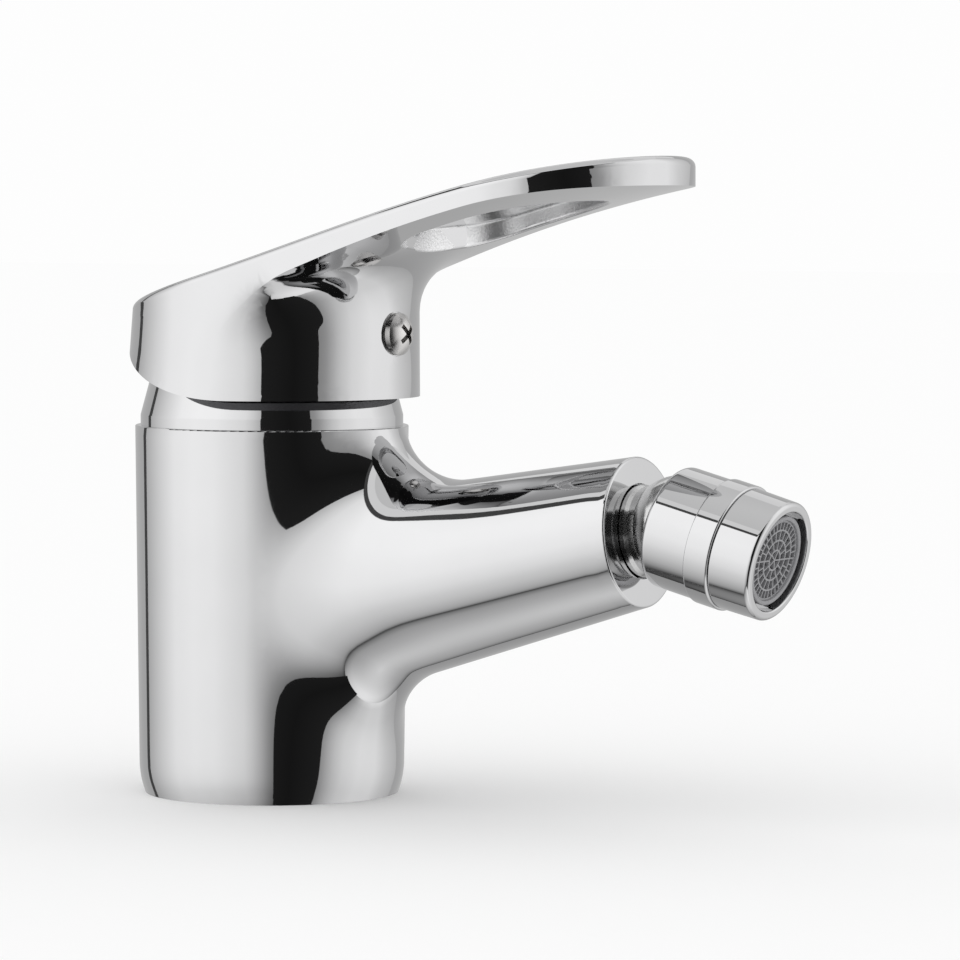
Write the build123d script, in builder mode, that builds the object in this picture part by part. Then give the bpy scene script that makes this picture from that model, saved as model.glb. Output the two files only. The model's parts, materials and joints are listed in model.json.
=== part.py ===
from build123d import *
import os
from math import atan2, cos, degrees, hypot, radians, sin, sqrt, tan

# Single-lever bidet mixer: a round pedestal body with a tapering spout, a loop lever
# on a ceramic-disc cartridge, and a spray end on a ball joint.
# Millimetres. Origin at the centre of the underside, +Z up, +X towards the spray end.

# Clearances
running_gap = 0.05
thread_gap = 0.1
loose_gap = 0.3
crossing_offset = 0.05
cut_overrun = 5.0

# Body
body_height = 71.1
body_top_radius = 26.4
body_low_radius = 25.65
body_low_height = 6.0
foot_radius = 24.5
foot_edge_round = 0.3
body_top_round = 0.25

# Spout
spout_root_x = 10.0
spout_root_height_share = 0.519
spout_root_radius_share = 0.2778
spout_end_x = 82.45
spout_end_drop = 17.6
spout_end_radius = 13.87
spout_face_tilt = 4.6
spout_blend_share = 0.225
spout_edge_round = 0.45

# Underside of the body
recess_radius = 19.5
recess_depth = 13.0
inlet_thread_radius = 4.5
inlet_thread_depth = 12.0
stud_thread_radius = 3.4
stud_thread_depth = 9.0
stud_x = -12.0
base_seal_radius = 21.9
base_seal_wire = 0.85
base_seal_lift = 0.05
base_groove_width = 2.0

# Waterways
inlet_x = 5.0
inlet_y = 9.0
inlet_radius = 2.7
outlet_x = -8.5
outlet_radius = 3.8
channel_radius = 5.0
channel_drop = 40.1

# Cartridge seat
seat_drop = 31.1
cartridge_radius = 19.8
cartridge_base_height = 5.5
peg_radius = 1.5
peg_length = 2.5
peg_x = -2.0
peg_y = 15.8
port_seal_radius = 5.1
port_seal_wall = 1.7
port_seal_height = 1.6

# Ceramic discs
lower_disc_radius = 14.0
upper_disc_radius = 12.4
disc_height = 4.0
chamber_length = 13.5
chamber_width = 16.0
chamber_corner = 6.0
chamber_depth = 2.0
chamber_back = 3.3
carrier_height = 4.1

# Rotor and spindle
pivot_drop = 7.1
stem_lean = 12.5
rotor_flange_radius = 17.2
rotor_flange_height = 3.1
rotor_radius = 13.4
rotor_top_drop = 0.1
rotor_slot_length = 15.5
rotor_seal_wire = 0.75
rotor_seal_drop = 3.5
rotor_bore_gap = 0.5
pin_radius = 1.5
pin_length = 24.0
stem_width = 8.0
stem_above_pivot = 33.0
stem_below_pivot = 4.8
stem_neck_radius = 1.8
stem_tip_radius = 2.3
stem_tip_drop = 8.0
stem_edge_round = 0.6

# Cartridge housing, retaining nut and dome ring
housing_wall = 2.3
housing_roof = 3.6
housing_neck_radius = 15.5
housing_neck_height = 5.0
nut_radius = 22.75
nut_shelf_drop = 11.1
nut_height = 11.5
nut_lip_height = 3.0
nut_hex_width = 36.0
dome_radius = 25.35
dome_band_height = 2.0
dome_band_round = 1.2
dome_top_radius = 23.45
dome_height = 9.1
dome_shoulder_round = 1.0
dome_opening_radius = 17.6
dome_roof = 1.8

# Lever
lever_low_rise = 5.6
lever_top_margin = 0.7
hub_low_radius = 28.3
hub_top_radius = 26.4
hub_front_x = 28.6
loop_radius = 29.8
loop_reach = 89.4
top_heel_x = -31.0
top_heel_rise = 21.4
top_axis_rise = 29.0
top_front_x = 30.0
top_front_rise = 37.9
top_loop_x = 60.0
top_loop_rise = 46.2
top_tip_x = 91.5
top_tip_rise = 52.2
under_hub_x = 28.0
under_hub_rise = 30.8
under_loop_x = 60.0
under_loop_rise = 40.5
under_tip_x = 90.0
under_tip_rise = 46.3
under_slope = 0.36
under_crown_radius = 250.0
under_crown_half = 12.0
hub_blend_radius = 11.0
lever_edge_round = 1.5
heel_cut_x = 8.0
heel_cut_radius = 57.0
pocket_left_x = 37.5
pocket_corner = 9.0
pocket_centre_x = 54.0
pocket_radius = 18.0
pocket_rim_round = 0.7
pocket_root_round = 0.5
pocket_skin = 1.6
hub_cavity_radius = 25.5
lever_wall = 4.0
boss_low_rise = 13.4
boss_back = 7.0
boss_width = 17.0
lever_tool_margin = 40.0

# Lever screw
screw_rise = 17.9
screw_radius = 2.0
screw_head_radius = 4.0
screw_head_side = 1.3
screw_head_height = 3.05
screw_spot_depth = 0.35
screw_point_chamfer = 0.5
cross_turn = 40.0
cross_length = 4.4
cross_width = 1.0
cross_depth = 1.7

# Ball joint
ball_offset = 8.58
ball_radius = 10.0
ball_flat = 7.0
ball_bore_radius = 4.0
ball_hex_width = 9.0
ball_hex_depth = 8.0
stem_flange_radius = 8.6
stem_flange_length = 1.0
stem_flange_taper = 0.7
stem_flange_sunk = 2.2
ball_neck_radius = 8.2
stem_thread_radius = 6.9
stem_thread_length = 9.0
stem_gasket_thickness = 1.2
ball_seal_centre = 9.05
ball_seal_wire = 0.9
ball_seal_angle = 69.5

# Spray end
spray_drop = 14.4
spray_lip = 2.2
spray_rear_radius = 11.5
spray_rear_round = 1.3
ring_start = 7.6
ring_end = 12.7
ring_radius = 11.9
ring_round = 0.3
seat_ring_start = 2.6
seat_ring_end = 10.5
seat_ring_bore = 7.3
front_groove = 0.25
front_rear_radius = 11.45
front_rim_radius = 11.25
spray_reach = 21.3
front_rim_round = 0.8
spigot_start = 10.7
spigot_bore = 9.0
shoulder_start = 17.0
shoulder_end = 18.6
shoulder_radius = 8.65
mouth_radius = 9.45
insert_nose_radius = 8.5
insert_reach = 20.5
insert_bore = 7.6
insert_throat = 6.6
insert_edge_round = 0.3
gasket_thickness = 1.4
gasket_bore = 6.9
sieve_height = 0.6
sieve_thickness = 0.3
grid_depth = 1.0
grid_sunk = 0.5
grid_ring_wall = 0.32
grid_bar_wall = 0.26
grid_radius_shares = (0.25, 0.5, 0.75)
grid_bar_counts = (5, 12, 20, 34)
mixing_screen_thickness = 0.2
mixing_screen_gap = 1.1
mixing_hole_radius = 0.5
mixing_hole_spacing = 1.9
mixing_hole_count = 6
mixing_row_count = 3
mixing_screen_count = 2

# Derived heights of the body and the spout, from the body's height
spout_root_z = spout_root_height_share * body_height
spout_root_radius = spout_root_radius_share * body_height
spout_blend_radius = spout_blend_share * body_height
spout_end_z = body_height - spout_end_drop
channel_low_z = body_height - channel_drop
seat_z = body_height - seat_drop
nut_shelf_z = body_height - nut_shelf_drop

# Derived heights over the body, from its top
pivot_z = body_height - pivot_drop
rotor_top_z = body_height - rotor_top_drop
rotor_seal_z = body_height - rotor_seal_drop
lever_low_z = body_height + lever_low_rise
top_heel_z = body_height + top_heel_rise
top_axis_z = body_height + top_axis_rise
top_front_z = body_height + top_front_rise
top_loop_z = body_height + top_loop_rise
top_tip_z = body_height + top_tip_rise
lever_top_z = top_tip_z + lever_top_margin
under_hub_z = body_height + under_hub_rise
under_loop_z = body_height + under_loop_rise
under_tip_z = body_height + under_tip_rise
boss_low_z = body_height + boss_low_rise
screw_z = body_height + screw_rise

# Derived places of the body and the spout
spout_pitch = degrees(atan2(spout_end_z - spout_root_z, spout_end_x - spout_root_x))
spout_run = hypot(spout_end_x - spout_root_x, spout_end_z - spout_root_z)
spout_taper = (spout_root_radius - spout_end_radius) / spout_run
spout_blank_length = spout_run + cut_overrun
spout_face_back = spout_end_x - spout_end_radius
body_blank_height = body_height + 2 * spout_blend_radius
body_slope = (body_top_radius - body_low_radius) / (body_height - body_low_height)
body_blank_radius = body_low_radius + body_slope * (body_blank_height - body_low_height)
inlet_places = [(inlet_x, -inlet_y), (inlet_x, inlet_y)]
port_places = [(inlet_x, -inlet_y), (inlet_x, inlet_y), (outlet_x, 0)]
peg_places = [(peg_x, -peg_y), (peg_x, peg_y)]

# Derived heights of the cartridge
lower_disc_z = seat_z + cartridge_base_height
upper_disc_z = lower_disc_z + disc_height + running_gap
carrier_z = upper_disc_z + disc_height
rotor_z = carrier_z + carrier_height + loose_gap
rotor_flange_top = rotor_z + rotor_flange_height
roof_z = rotor_flange_top + loose_gap
neck_z = roof_z + housing_roof
slide_start_x = -stem_tip_drop * sin(radians(stem_lean))


def side_plane(x, z, angle):
    """Upright plane through (x, 0, z) whose first axis rises by angle from +X."""
    return Plane(origin=(x, 0, z), x_dir=(cos(radians(angle)), 0, sin(radians(angle))), z_dir=(0, -1, 0))


def cross_plane(x, z, angle):
    """Plane square to the direction that rises by angle from +X."""
    return Plane(origin=(x, 0, z), x_dir=(0, 1, 0), z_dir=(cos(radians(angle)), 0, sin(radians(angle))))


def turning_axis(x, z, angle):
    """Axis through (x, 0, z) that rises by angle from +X."""
    return Axis((x, 0, z), (cos(radians(angle)), 0, sin(radians(angle))))


def draft_at(z):
    """How far the lever's walls have drawn in at a height above its lower rim."""
    return (hub_low_radius - hub_top_radius) * (z - lever_low_z) / (lever_top_z - lever_low_z)


def corner_at(profile, x, y):
    """Corner of a profile nearest to a point of its plane."""
    return profile.vertices().sort_by_distance((x, y, 0))[0]


# Derived places of the lever screw, the ball and the spray end
screw_seat_x = hub_front_x - screw_spot_depth
stem_front_x = (screw_z - pivot_z) * tan(radians(stem_lean)) + stem_width / 2 / cos(radians(stem_lean))
screw_tip_x = stem_front_x + screw_radius * tan(radians(stem_lean))
screw_length = screw_seat_x - screw_tip_x
socket_depth = stem_flange_sunk + stem_gasket_thickness
ball_meet = ball_offset - sqrt(ball_radius**2 - ball_neck_radius**2)
ball_flat_radius = sqrt(ball_radius**2 - ball_flat**2)
seal_forward = ball_seal_centre * cos(radians(ball_seal_angle))
seal_out = ball_seal_centre * sin(radians(ball_seal_angle))
groove_width = 2 * (ball_seal_wire + running_gap)
groove_forward = (ball_seal_centre + cut_overrun / 2) * cos(radians(ball_seal_angle))
groove_out = (ball_seal_centre + cut_overrun / 2) * sin(radians(ball_seal_angle))
ball_x = spout_end_x + ball_offset * cos(radians(spout_face_tilt))
ball_z = spout_end_z + ball_offset * sin(radians(spout_face_tilt))
housing_bore = ball_radius + running_gap
lip_radius = sqrt(housing_bore**2 - spray_lip**2)
seat_meet_out = sqrt(housing_bore**2 - seat_ring_start**2)
seat_meet_in = sqrt(housing_bore**2 - seat_ring_bore**2)
seat_middle_turn = (atan2(seat_meet_out, seat_ring_start) + atan2(seat_ring_bore, seat_meet_in)) / 2

# Body: turned pedestal with a conical spout blended into it
face_plane = cross_plane(spout_end_x, spout_end_z, spout_face_tilt)

with BuildPart() as spout_blank:
    with BuildSketch(side_plane(spout_root_x, spout_root_z, spout_pitch)):
        with BuildLine():
            Polyline(
                (0, 0),
                (spout_blank_length, 0),
                (spout_blank_length, spout_root_radius - spout_taper * spout_blank_length),
                (0, spout_root_radius),
                close=True,
            )
        make_face()
    revolve(axis=turning_axis(spout_root_x, spout_root_z, spout_pitch))
    split(bisect_by=face_plane, keep=Keep.BOTTOM)

with BuildPart() as body:
    with BuildSketch(Plane.XZ):
        with BuildLine():
            Line((0, 0), (foot_radius, 0))
            TangentArc(
                (body_low_radius, body_low_height),
                (foot_radius, 0),
                tangent=(body_low_radius - body_top_radius, body_low_height - body_height),
            )
            Polyline(
                (body_low_radius, body_low_height),
                (body_blank_radius, body_blank_height),
                (0, body_blank_height),
                (0, 0),
            )
        make_face()
    revolve(axis=Axis.Z)
    foot_edge = body.edges().group_by(Axis.Z)[0]
    fillet(foot_edge, foot_edge_round)
    add(spout_blank.part)
    joint_edges = body.edges(Select.NEW).filter_by(lambda edge: edge.bounding_box().max.X < spout_face_back)
    fillet(joint_edges, spout_blend_radius)
    with BuildSketch(Plane.XY.offset(body_height)):
        Circle(spout_end_x)
    extrude(amount=body_blank_height, mode=Mode.SUBTRACT)
    top_face = body.faces().filter_by(Axis.Z).sort_by(Axis.Z)[-1]
    fillet(top_face.outer_wire().edges(), body_top_round)
    rim_edges = body.edges().filter_by(lambda edge: edge.bounding_box().min.X > spout_face_back)
    fillet(rim_edges.sort_by(SortBy.LENGTH)[-1], spout_edge_round)

    # Recess, threaded holes and seal groove of the underside
    with BuildSketch(Plane.XY):
        Circle(recess_radius)
    extrude(amount=recess_depth, mode=Mode.SUBTRACT)
    with BuildSketch(Plane.XY):
        Circle(base_seal_radius + base_groove_width / 2)
        Circle(base_seal_radius - base_groove_width / 2, mode=Mode.SUBTRACT)
    extrude(amount=base_seal_wire * 2 + base_seal_lift, mode=Mode.SUBTRACT)
    with BuildSketch(Plane.XY.offset(recess_depth)):
        with Locations(*inlet_places):
            Circle(inlet_thread_radius)
    extrude(amount=inlet_thread_depth, mode=Mode.SUBTRACT)
    with BuildSketch(Plane.XY.offset(recess_depth)):
        with Locations((stud_x, 0)):
            Circle(stud_thread_radius)
    extrude(amount=stud_thread_depth, mode=Mode.SUBTRACT)

    # Cartridge bore, its thread for the nut, and the ports and peg holes of the seat
    with BuildSketch(Plane.XY.offset(seat_z)):
        Circle(cartridge_radius + loose_gap)
    extrude(amount=body_height, mode=Mode.SUBTRACT)
    with BuildSketch(Plane.XY.offset(nut_shelf_z)):
        Circle(nut_radius + thread_gap)
    extrude(amount=body_height, mode=Mode.SUBTRACT)
    with BuildSketch(Plane.XY.offset(recess_depth)):
        with Locations(*inlet_places):
            Circle(inlet_radius)
    extrude(amount=seat_z - recess_depth, mode=Mode.SUBTRACT)
    with BuildSketch(Plane.XY.offset(seat_z)):
        with Locations(*peg_places):
            Circle(peg_radius + thread_gap)
    extrude(amount=-(peg_length + loose_gap), mode=Mode.SUBTRACT)
    with BuildSketch(Plane.XY.offset(channel_low_z)):
        with Locations((outlet_x, 0)):
            Circle(outlet_radius)
    extrude(amount=seat_z - channel_low_z, mode=Mode.SUBTRACT)

    # Socket of the ball stem, and the water channel that runs back from it
    with BuildSketch(face_plane):
        Circle(stem_flange_radius + loose_gap)
    extrude(amount=-socket_depth, mode=Mode.SUBTRACT)
    with BuildSketch(face_plane):
        Circle(stem_thread_radius + thread_gap)
    extrude(amount=-(socket_depth + stem_thread_length), mode=Mode.SUBTRACT)
    channel_end_x = spout_end_x - (socket_depth + stem_thread_length) * cos(radians(spout_face_tilt))
    channel_end_z = spout_end_z - (socket_depth + stem_thread_length) * sin(radians(spout_face_tilt))
    channel_pitch = degrees(atan2(channel_end_z - channel_low_z, channel_end_x - outlet_x))
    with BuildSketch(cross_plane(outlet_x, channel_low_z, channel_pitch)):
        Circle(channel_radius)
    channel_length = hypot(channel_end_x - outlet_x, channel_end_z - channel_low_z) + loose_gap
    extrude(amount=channel_length, mode=Mode.SUBTRACT)
body.part.label = "body"
export_step(body.part, "parts/body.step")

# Round seal in the groove under the foot
with BuildPart() as base_seal:
    with BuildSketch(Plane.XZ):
        with Locations((base_seal_radius, base_seal_wire + base_seal_lift)):
            Circle(base_seal_wire)
    revolve(axis=Axis.Z)
base_seal.part.label = "base_seal"
export_step(base_seal.part, "parts/base_seal.step")

# Cartridge base with three ports, two pegs and a seal pocket under each port
with BuildPart() as cartridge_base:
    with BuildSketch(Plane.XY.offset(seat_z)):
        Circle(cartridge_radius)
    extrude(amount=cartridge_base_height)
    with BuildSketch(Plane.XY.offset(seat_z)):
        with Locations(*peg_places):
            Circle(peg_radius)
    extrude(amount=-peg_length)
    with BuildSketch(Plane.XY.offset(seat_z)):
        with Locations(*port_places):
            Circle(port_seal_radius)
    extrude(amount=port_seal_height, mode=Mode.SUBTRACT)
    with BuildSketch(Plane.XY.offset(seat_z)):
        with Locations(*inlet_places):
            Circle(inlet_radius)
        with Locations((outlet_x, 0)):
            Circle(outlet_radius)
    extrude(amount=cartridge_base_height, mode=Mode.SUBTRACT)
cartridge_base.part.label = "cartridge_base"
export_step(cartridge_base.part, "parts/cartridge_base.step")

with BuildPart() as port_seals:
    with BuildSketch(Plane.XY.offset(seat_z)):
        with Locations(*port_places):
            Circle(port_seal_radius - running_gap)
            Circle(port_seal_radius - port_seal_wall, mode=Mode.SUBTRACT)
    extrude(amount=port_seal_height)
port_seals.part.label = "port_seals"
export_step(port_seals.part, "parts/port_seals.step")

# Ceramic discs: the lower one is fixed, the upper one carries the mixing chamber
with BuildPart() as lower_disc:
    with BuildSketch(Plane.XY.offset(lower_disc_z)):
        Circle(lower_disc_radius)
        with Locations(*inlet_places):
            Circle(inlet_radius, mode=Mode.SUBTRACT)
        with Locations((outlet_x, 0)):
            Circle(outlet_radius, mode=Mode.SUBTRACT)
    extrude(amount=disc_height)
lower_disc.part.label = "lower_disc"
export_step(lower_disc.part, "parts/lower_disc.step")

with BuildPart() as upper_disc:
    with BuildSketch(Plane.XY.offset(upper_disc_z)):
        with Locations((slide_start_x, 0)):
            Circle(upper_disc_radius)
    extrude(amount=disc_height)
    with BuildSketch(Plane.XY.offset(upper_disc_z)):
        with Locations((slide_start_x - chamber_back, 0)):
            RectangleRounded(chamber_length, chamber_width, chamber_corner)
    extrude(amount=chamber_depth, mode=Mode.SUBTRACT)
upper_disc.part.label = "upper_disc"
export_step(upper_disc.part, "parts/upper_disc.step")

# Carrier that moves the upper disc, with a socket for the spindle's tip
with BuildPart() as disc_carrier:
    with BuildSketch(Plane.XY.offset(carrier_z)):
        with Locations((slide_start_x, 0)):
            Circle(upper_disc_radius)
            Circle(stem_tip_radius + running_gap, mode=Mode.SUBTRACT)
    extrude(amount=carrier_height)
disc_carrier.part.label = "disc_carrier"
export_step(disc_carrier.part, "parts/disc_carrier.step")

# Rotor: turns in the housing and holds the spindle's pin
with BuildPart() as rotor:
    with BuildSketch(Plane.XY.offset(rotor_z)):
        Circle(rotor_flange_radius)
    extrude(amount=rotor_flange_height)
    with BuildSketch(Plane.XY.offset(rotor_z)):
        Circle(rotor_radius)
    extrude(amount=rotor_top_z - rotor_z)
    with BuildSketch(Plane.XY.offset(rotor_z)):
        Rectangle(rotor_slot_length, stem_width + 2 * loose_gap)
    extrude(amount=rotor_top_z - rotor_z, mode=Mode.SUBTRACT)
    with BuildSketch(Plane.XZ.offset(-pin_length / 2)):
        with Locations((0, pivot_z)):
            Circle(pin_radius)
    extrude(amount=pin_length, mode=Mode.SUBTRACT)
    with BuildSketch(Plane.XZ):
        with Locations((rotor_radius - rotor_seal_wire / 2, rotor_seal_z)):
            Rectangle(rotor_seal_wire * 2, rotor_seal_wire * 2)
    revolve(axis=Axis.Z, mode=Mode.SUBTRACT)
rotor.part.label = "rotor"
export_step(rotor.part, "parts/rotor.step")

with BuildPart() as rotor_seal:
    with BuildSketch(Plane.XZ):
        with Locations((rotor_radius - rotor_seal_wire / 2, rotor_seal_z)):
            Circle(rotor_seal_wire)
    revolve(axis=Axis.Z)
rotor_seal.part.label = "rotor_seal"
export_step(rotor_seal.part, "parts/rotor_seal.step")

with BuildPart() as stem_pin:
    with BuildSketch(Plane.XZ.offset(-pin_length / 2)):
        with Locations((0, pivot_z)):
            Circle(pin_radius)
    extrude(amount=pin_length)
stem_pin.part.label = "stem_pin"
export_step(stem_pin.part, "parts/stem_pin.step")

# Spindle: a square bar that leans forward while the lever is down
lean_plane = Plane(
    origin=(0, 0, pivot_z),
    x_dir=(cos(radians(stem_lean)), 0, -sin(radians(stem_lean))),
    z_dir=(sin(radians(stem_lean)), 0, cos(radians(stem_lean))),
)
with BuildPart() as spindle:
    with BuildSketch(lean_plane.offset(-stem_below_pivot)):
        Rectangle(stem_width, stem_width)
    extrude(amount=stem_below_pivot + stem_above_pivot)
    bar_edges = spindle.edges().filter_by(Axis(lean_plane.origin, lean_plane.z_dir))
    fillet(bar_edges, stem_edge_round)
    with BuildSketch(lean_plane.offset(-stem_tip_drop)):
        Circle(stem_neck_radius)
    extrude(amount=stem_tip_drop - stem_below_pivot)
    with Locations(lean_plane.offset(-stem_tip_drop)):
        Sphere(stem_tip_radius)
    with BuildSketch(Plane.XZ.offset(-stem_width)):
        with Locations((0, pivot_z)):
            Circle(pin_radius + running_gap)
    extrude(amount=2 * stem_width, mode=Mode.SUBTRACT)
spindle.part.label = "spindle"
export_step(spindle.part, "parts/spindle.step")

# Cartridge housing: a cup over the discs with a neck for the rotor
with BuildPart() as cartridge_housing:
    with BuildSketch(Plane.XY.offset(lower_disc_z)):
        Circle(cartridge_radius)
    extrude(amount=neck_z - lower_disc_z)
    with BuildSketch(Plane.XY.offset(neck_z)):
        Circle(housing_neck_radius)
    extrude(amount=housing_neck_height)
    with BuildSketch(Plane.XY.offset(lower_disc_z)):
        Circle(cartridge_radius - housing_wall)
    extrude(amount=roof_z - lower_disc_z, mode=Mode.SUBTRACT)
    with BuildSketch(Plane.XY.offset(roof_z)):
        Circle(rotor_radius + rotor_bore_gap)
    extrude(amount=body_height, mode=Mode.SUBTRACT)
cartridge_housing.part.label = "cartridge_housing"
export_step(cartridge_housing.part, "parts/cartridge_housing.step")

# Nut that presses the cartridge into the body, turned by its inner hexagon
with BuildPart() as retaining_nut:
    with BuildSketch(Plane.XY.offset(neck_z)):
        Circle(nut_radius)
        Circle(housing_neck_radius + loose_gap, mode=Mode.SUBTRACT)
    extrude(amount=nut_height)
    with BuildSketch(Plane.XY.offset(neck_z + nut_lip_height)):
        RegularPolygon(nut_hex_width / 2, 6, major_radius=False)
    extrude(amount=nut_height, mode=Mode.SUBTRACT)
retaining_nut.part.label = "retaining_nut"
export_step(retaining_nut.part, "parts/retaining_nut.step")

# Dome ring: screwed over the nut, it covers the cartridge under the lever
dome_top_z = body_height + dome_height
with BuildPart() as dome_ring:
    with BuildSketch(Plane.XZ):
        with BuildLine():
            Polyline(
                (0, body_height),
                (dome_radius, body_height),
                (dome_radius, body_height + dome_band_height),
                (dome_top_radius, dome_top_z),
                (0, dome_top_z),
                close=True,
            )
        make_face()
    revolve(axis=Axis.Z)
    dome_edges = dome_ring.edges().filter_by(GeomType.CIRCLE).sort_by(Axis.Z)
    fillet(dome_edges[-1], dome_shoulder_round)
    band_edge = dome_ring.edges().filter_by(GeomType.CIRCLE).sort_by(SortBy.RADIUS)[-2:]
    fillet(band_edge.sort_by(Axis.Z)[-1], dome_band_round)
    with BuildSketch(Plane.XY.offset(body_height)):
        Circle(nut_radius + thread_gap)
    extrude(amount=dome_height - dome_roof, mode=Mode.SUBTRACT)
    with BuildSketch(Plane.XY.offset(body_height)):
        Circle(dome_opening_radius)
    extrude(amount=dome_height, mode=Mode.SUBTRACT)
dome_ring.part.label = "dome_ring"
export_step(dome_ring.part, "parts/dome_ring.step")

# Lever: plan outline, a hub under a sloping plate with a crowned underside, and the
# blend between them
hub_tool_low_z = lever_low_z - lever_tool_margin
hub_tool_top_z = lever_top_z + cut_overrun
plate_half = loop_reach + lever_tool_margin
plate_back_x = under_hub_x - plate_half
plate_front_x = under_tip_x + lever_tool_margin
plate_top_z = hub_tool_top_z + cut_overrun
crown_axis_z = under_loop_z + under_crown_radius
crown_sine = sin(radians(under_crown_half))
crown_cosine = cos(radians(under_crown_half))
crown_start = Plane(
    origin=(0, -crown_axis_z * crown_sine, crown_axis_z * (1 - crown_cosine)),
    x_dir=(1, 0, 0),
    z_dir=(0, -crown_cosine, crown_sine),
)

with BuildPart() as hub_tool:
    for level in (hub_tool_low_z, hub_tool_top_z):
        with BuildSketch(Plane.XY.offset(level)):
            with Locations((hub_front_x - hub_low_radius + draft_at(level), 0)):
                Circle(hub_low_radius - draft_at(level) + crossing_offset)
    loft(ruled=True)

with BuildPart() as above_top:
    with BuildSketch(Plane.XZ.offset(-plate_half)):
        with BuildLine():
            Spline(
                (top_heel_x, top_heel_z),
                (0, top_axis_z),
                (top_front_x, top_front_z),
                (top_loop_x, top_loop_z),
                (top_tip_x, top_tip_z),
            )
            Polyline(
                (top_tip_x, top_tip_z),
                (top_tip_x, plate_top_z),
                (top_heel_x, plate_top_z),
                (top_heel_x, top_heel_z),
            )
        make_face()
    extrude(amount=2 * plate_half)

with BuildPart() as lever_outline:
    for level in (lever_low_z, lever_top_z):
        with BuildSketch(Plane.XY.offset(level)):
            with Locations((hub_front_x - hub_low_radius + draft_at(level), 0)):
                Circle(hub_low_radius - draft_at(level))
            with Locations((loop_reach - loop_radius + draft_at(level), 0)):
                Circle(loop_radius - draft_at(level))
            make_hull()
    loft(ruled=True)
    add(above_top.part, mode=Mode.SUBTRACT)
    top_face = lever_outline.faces().sort_by(Axis.Z)[-1]
    fillet(top_face.edges(), lever_edge_round)

heel_rise = heel_cut_radius - sqrt(heel_cut_radius**2 - (heel_cut_x - top_heel_x) ** 2)
with BuildPart() as below_heel:
    with BuildSketch(Plane.XZ.offset(-plate_half)):
        with BuildLine():
            TangentArc((heel_cut_x, lever_low_z), (top_heel_x, lever_low_z + heel_rise), tangent=(-1, 0))
            Polyline(
                (top_heel_x, lever_low_z + heel_rise),
                (top_heel_x, hub_tool_low_z),
                (heel_cut_x, hub_tool_low_z),
                (heel_cut_x, lever_low_z),
            )
        make_face()
    extrude(amount=2 * plate_half)

# Cavity of the hub, with the boss that takes the spindle left standing in it
ceiling_slope = (top_front_z - top_axis_z) / top_front_x
with BuildPart() as hub_cavity:
    with BuildSketch(Plane.XY.offset(hub_tool_low_z)):
        Circle(hub_cavity_radius)
    extrude(amount=plate_top_z - hub_tool_low_z)
    split(
        bisect_by=Plane(origin=(0, 0, top_axis_z - lever_wall), z_dir=(-ceiling_slope, 0, 1)),
        keep=Keep.BOTTOM,
    )
    with BuildSketch(Plane.XY.offset(boss_low_z)):
        with Locations((hub_front_x / 2, 0)):
            Rectangle(hub_front_x + 2 * boss_back, boss_width)
    extrude(amount=plate_top_z - boss_low_z, mode=Mode.SUBTRACT)

# Pocket in the underside of the loop, closed above by the lever's skin
with BuildPart() as pocket:
    with BuildSketch(Plane.XY.offset(boss_low_z)):
        with Locations(
            (pocket_left_x + pocket_corner, pocket_corner),
            (pocket_left_x + pocket_corner, -pocket_corner),
        ):
            Circle(pocket_corner)
        with Locations((pocket_centre_x, 0)):
            Circle(pocket_radius)
        make_hull()
    extrude(amount=lever_tool_margin)
    add(above_top.part.moved(Location((0, 0, -pocket_skin))), mode=Mode.SUBTRACT)
    fillet(pocket.faces().sort_by(Axis.Z)[-1].edges(), pocket_root_round)

with BuildPart() as lever:
    with BuildSketch(crown_start):
        with BuildLine():
            ThreePointArc(
                (under_hub_x, under_hub_z), (under_loop_x, under_loop_z), (under_tip_x, under_tip_z)
            )
            Polyline(
                (under_tip_x, under_tip_z),
                (plate_front_x, under_tip_z),
                (plate_front_x, plate_top_z),
                (plate_back_x, plate_top_z),
                (plate_back_x, under_hub_z - under_slope * plate_half),
                (under_hub_x, under_hub_z),
            )
        make_face()
    revolve(axis=Axis((0, 0, crown_axis_z), (1, 0, 0)), revolution_arc=2 * under_crown_half)
    add(hub_tool.part)
    fillet(lever.edges(Select.NEW), hub_blend_radius)
    add(lever_outline.part, mode=Mode.INTERSECT)
    add(below_heel.part, mode=Mode.SUBTRACT)
    add(hub_cavity.part, mode=Mode.SUBTRACT)
    add(pocket.part, mode=Mode.SUBTRACT)
    pocket_edges = lever.edges(Select.NEW).filter_by(Axis.Z, reverse=True)
    rim_edges = pocket_edges.filter_by(lambda edge: edge.distance_to(above_top.part) > 2 * pocket_skin)
    fillet(rim_edges, pocket_rim_round)

    # Square socket for the spindle, and the screw's hole with a flat for its head
    with BuildSketch(lean_plane):
        Rectangle(stem_width + 2 * thread_gap, stem_width + 2 * thread_gap)
    extrude(amount=stem_above_pivot + loose_gap, mode=Mode.SUBTRACT)
    with BuildSketch(Plane.YZ.offset(screw_seat_x)):
        with Locations((0, screw_z)):
            Circle(screw_radius + thread_gap)
    extrude(amount=screw_tip_x - screw_seat_x, mode=Mode.SUBTRACT)
    with BuildSketch(Plane.YZ.offset(screw_seat_x)):
        with Locations((0, screw_z)):
            Circle(screw_head_radius + loose_gap)
    extrude(amount=screw_head_side, mode=Mode.SUBTRACT)
lever.part.label = "lever"
export_step(lever.part, "parts/lever.step")

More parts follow.
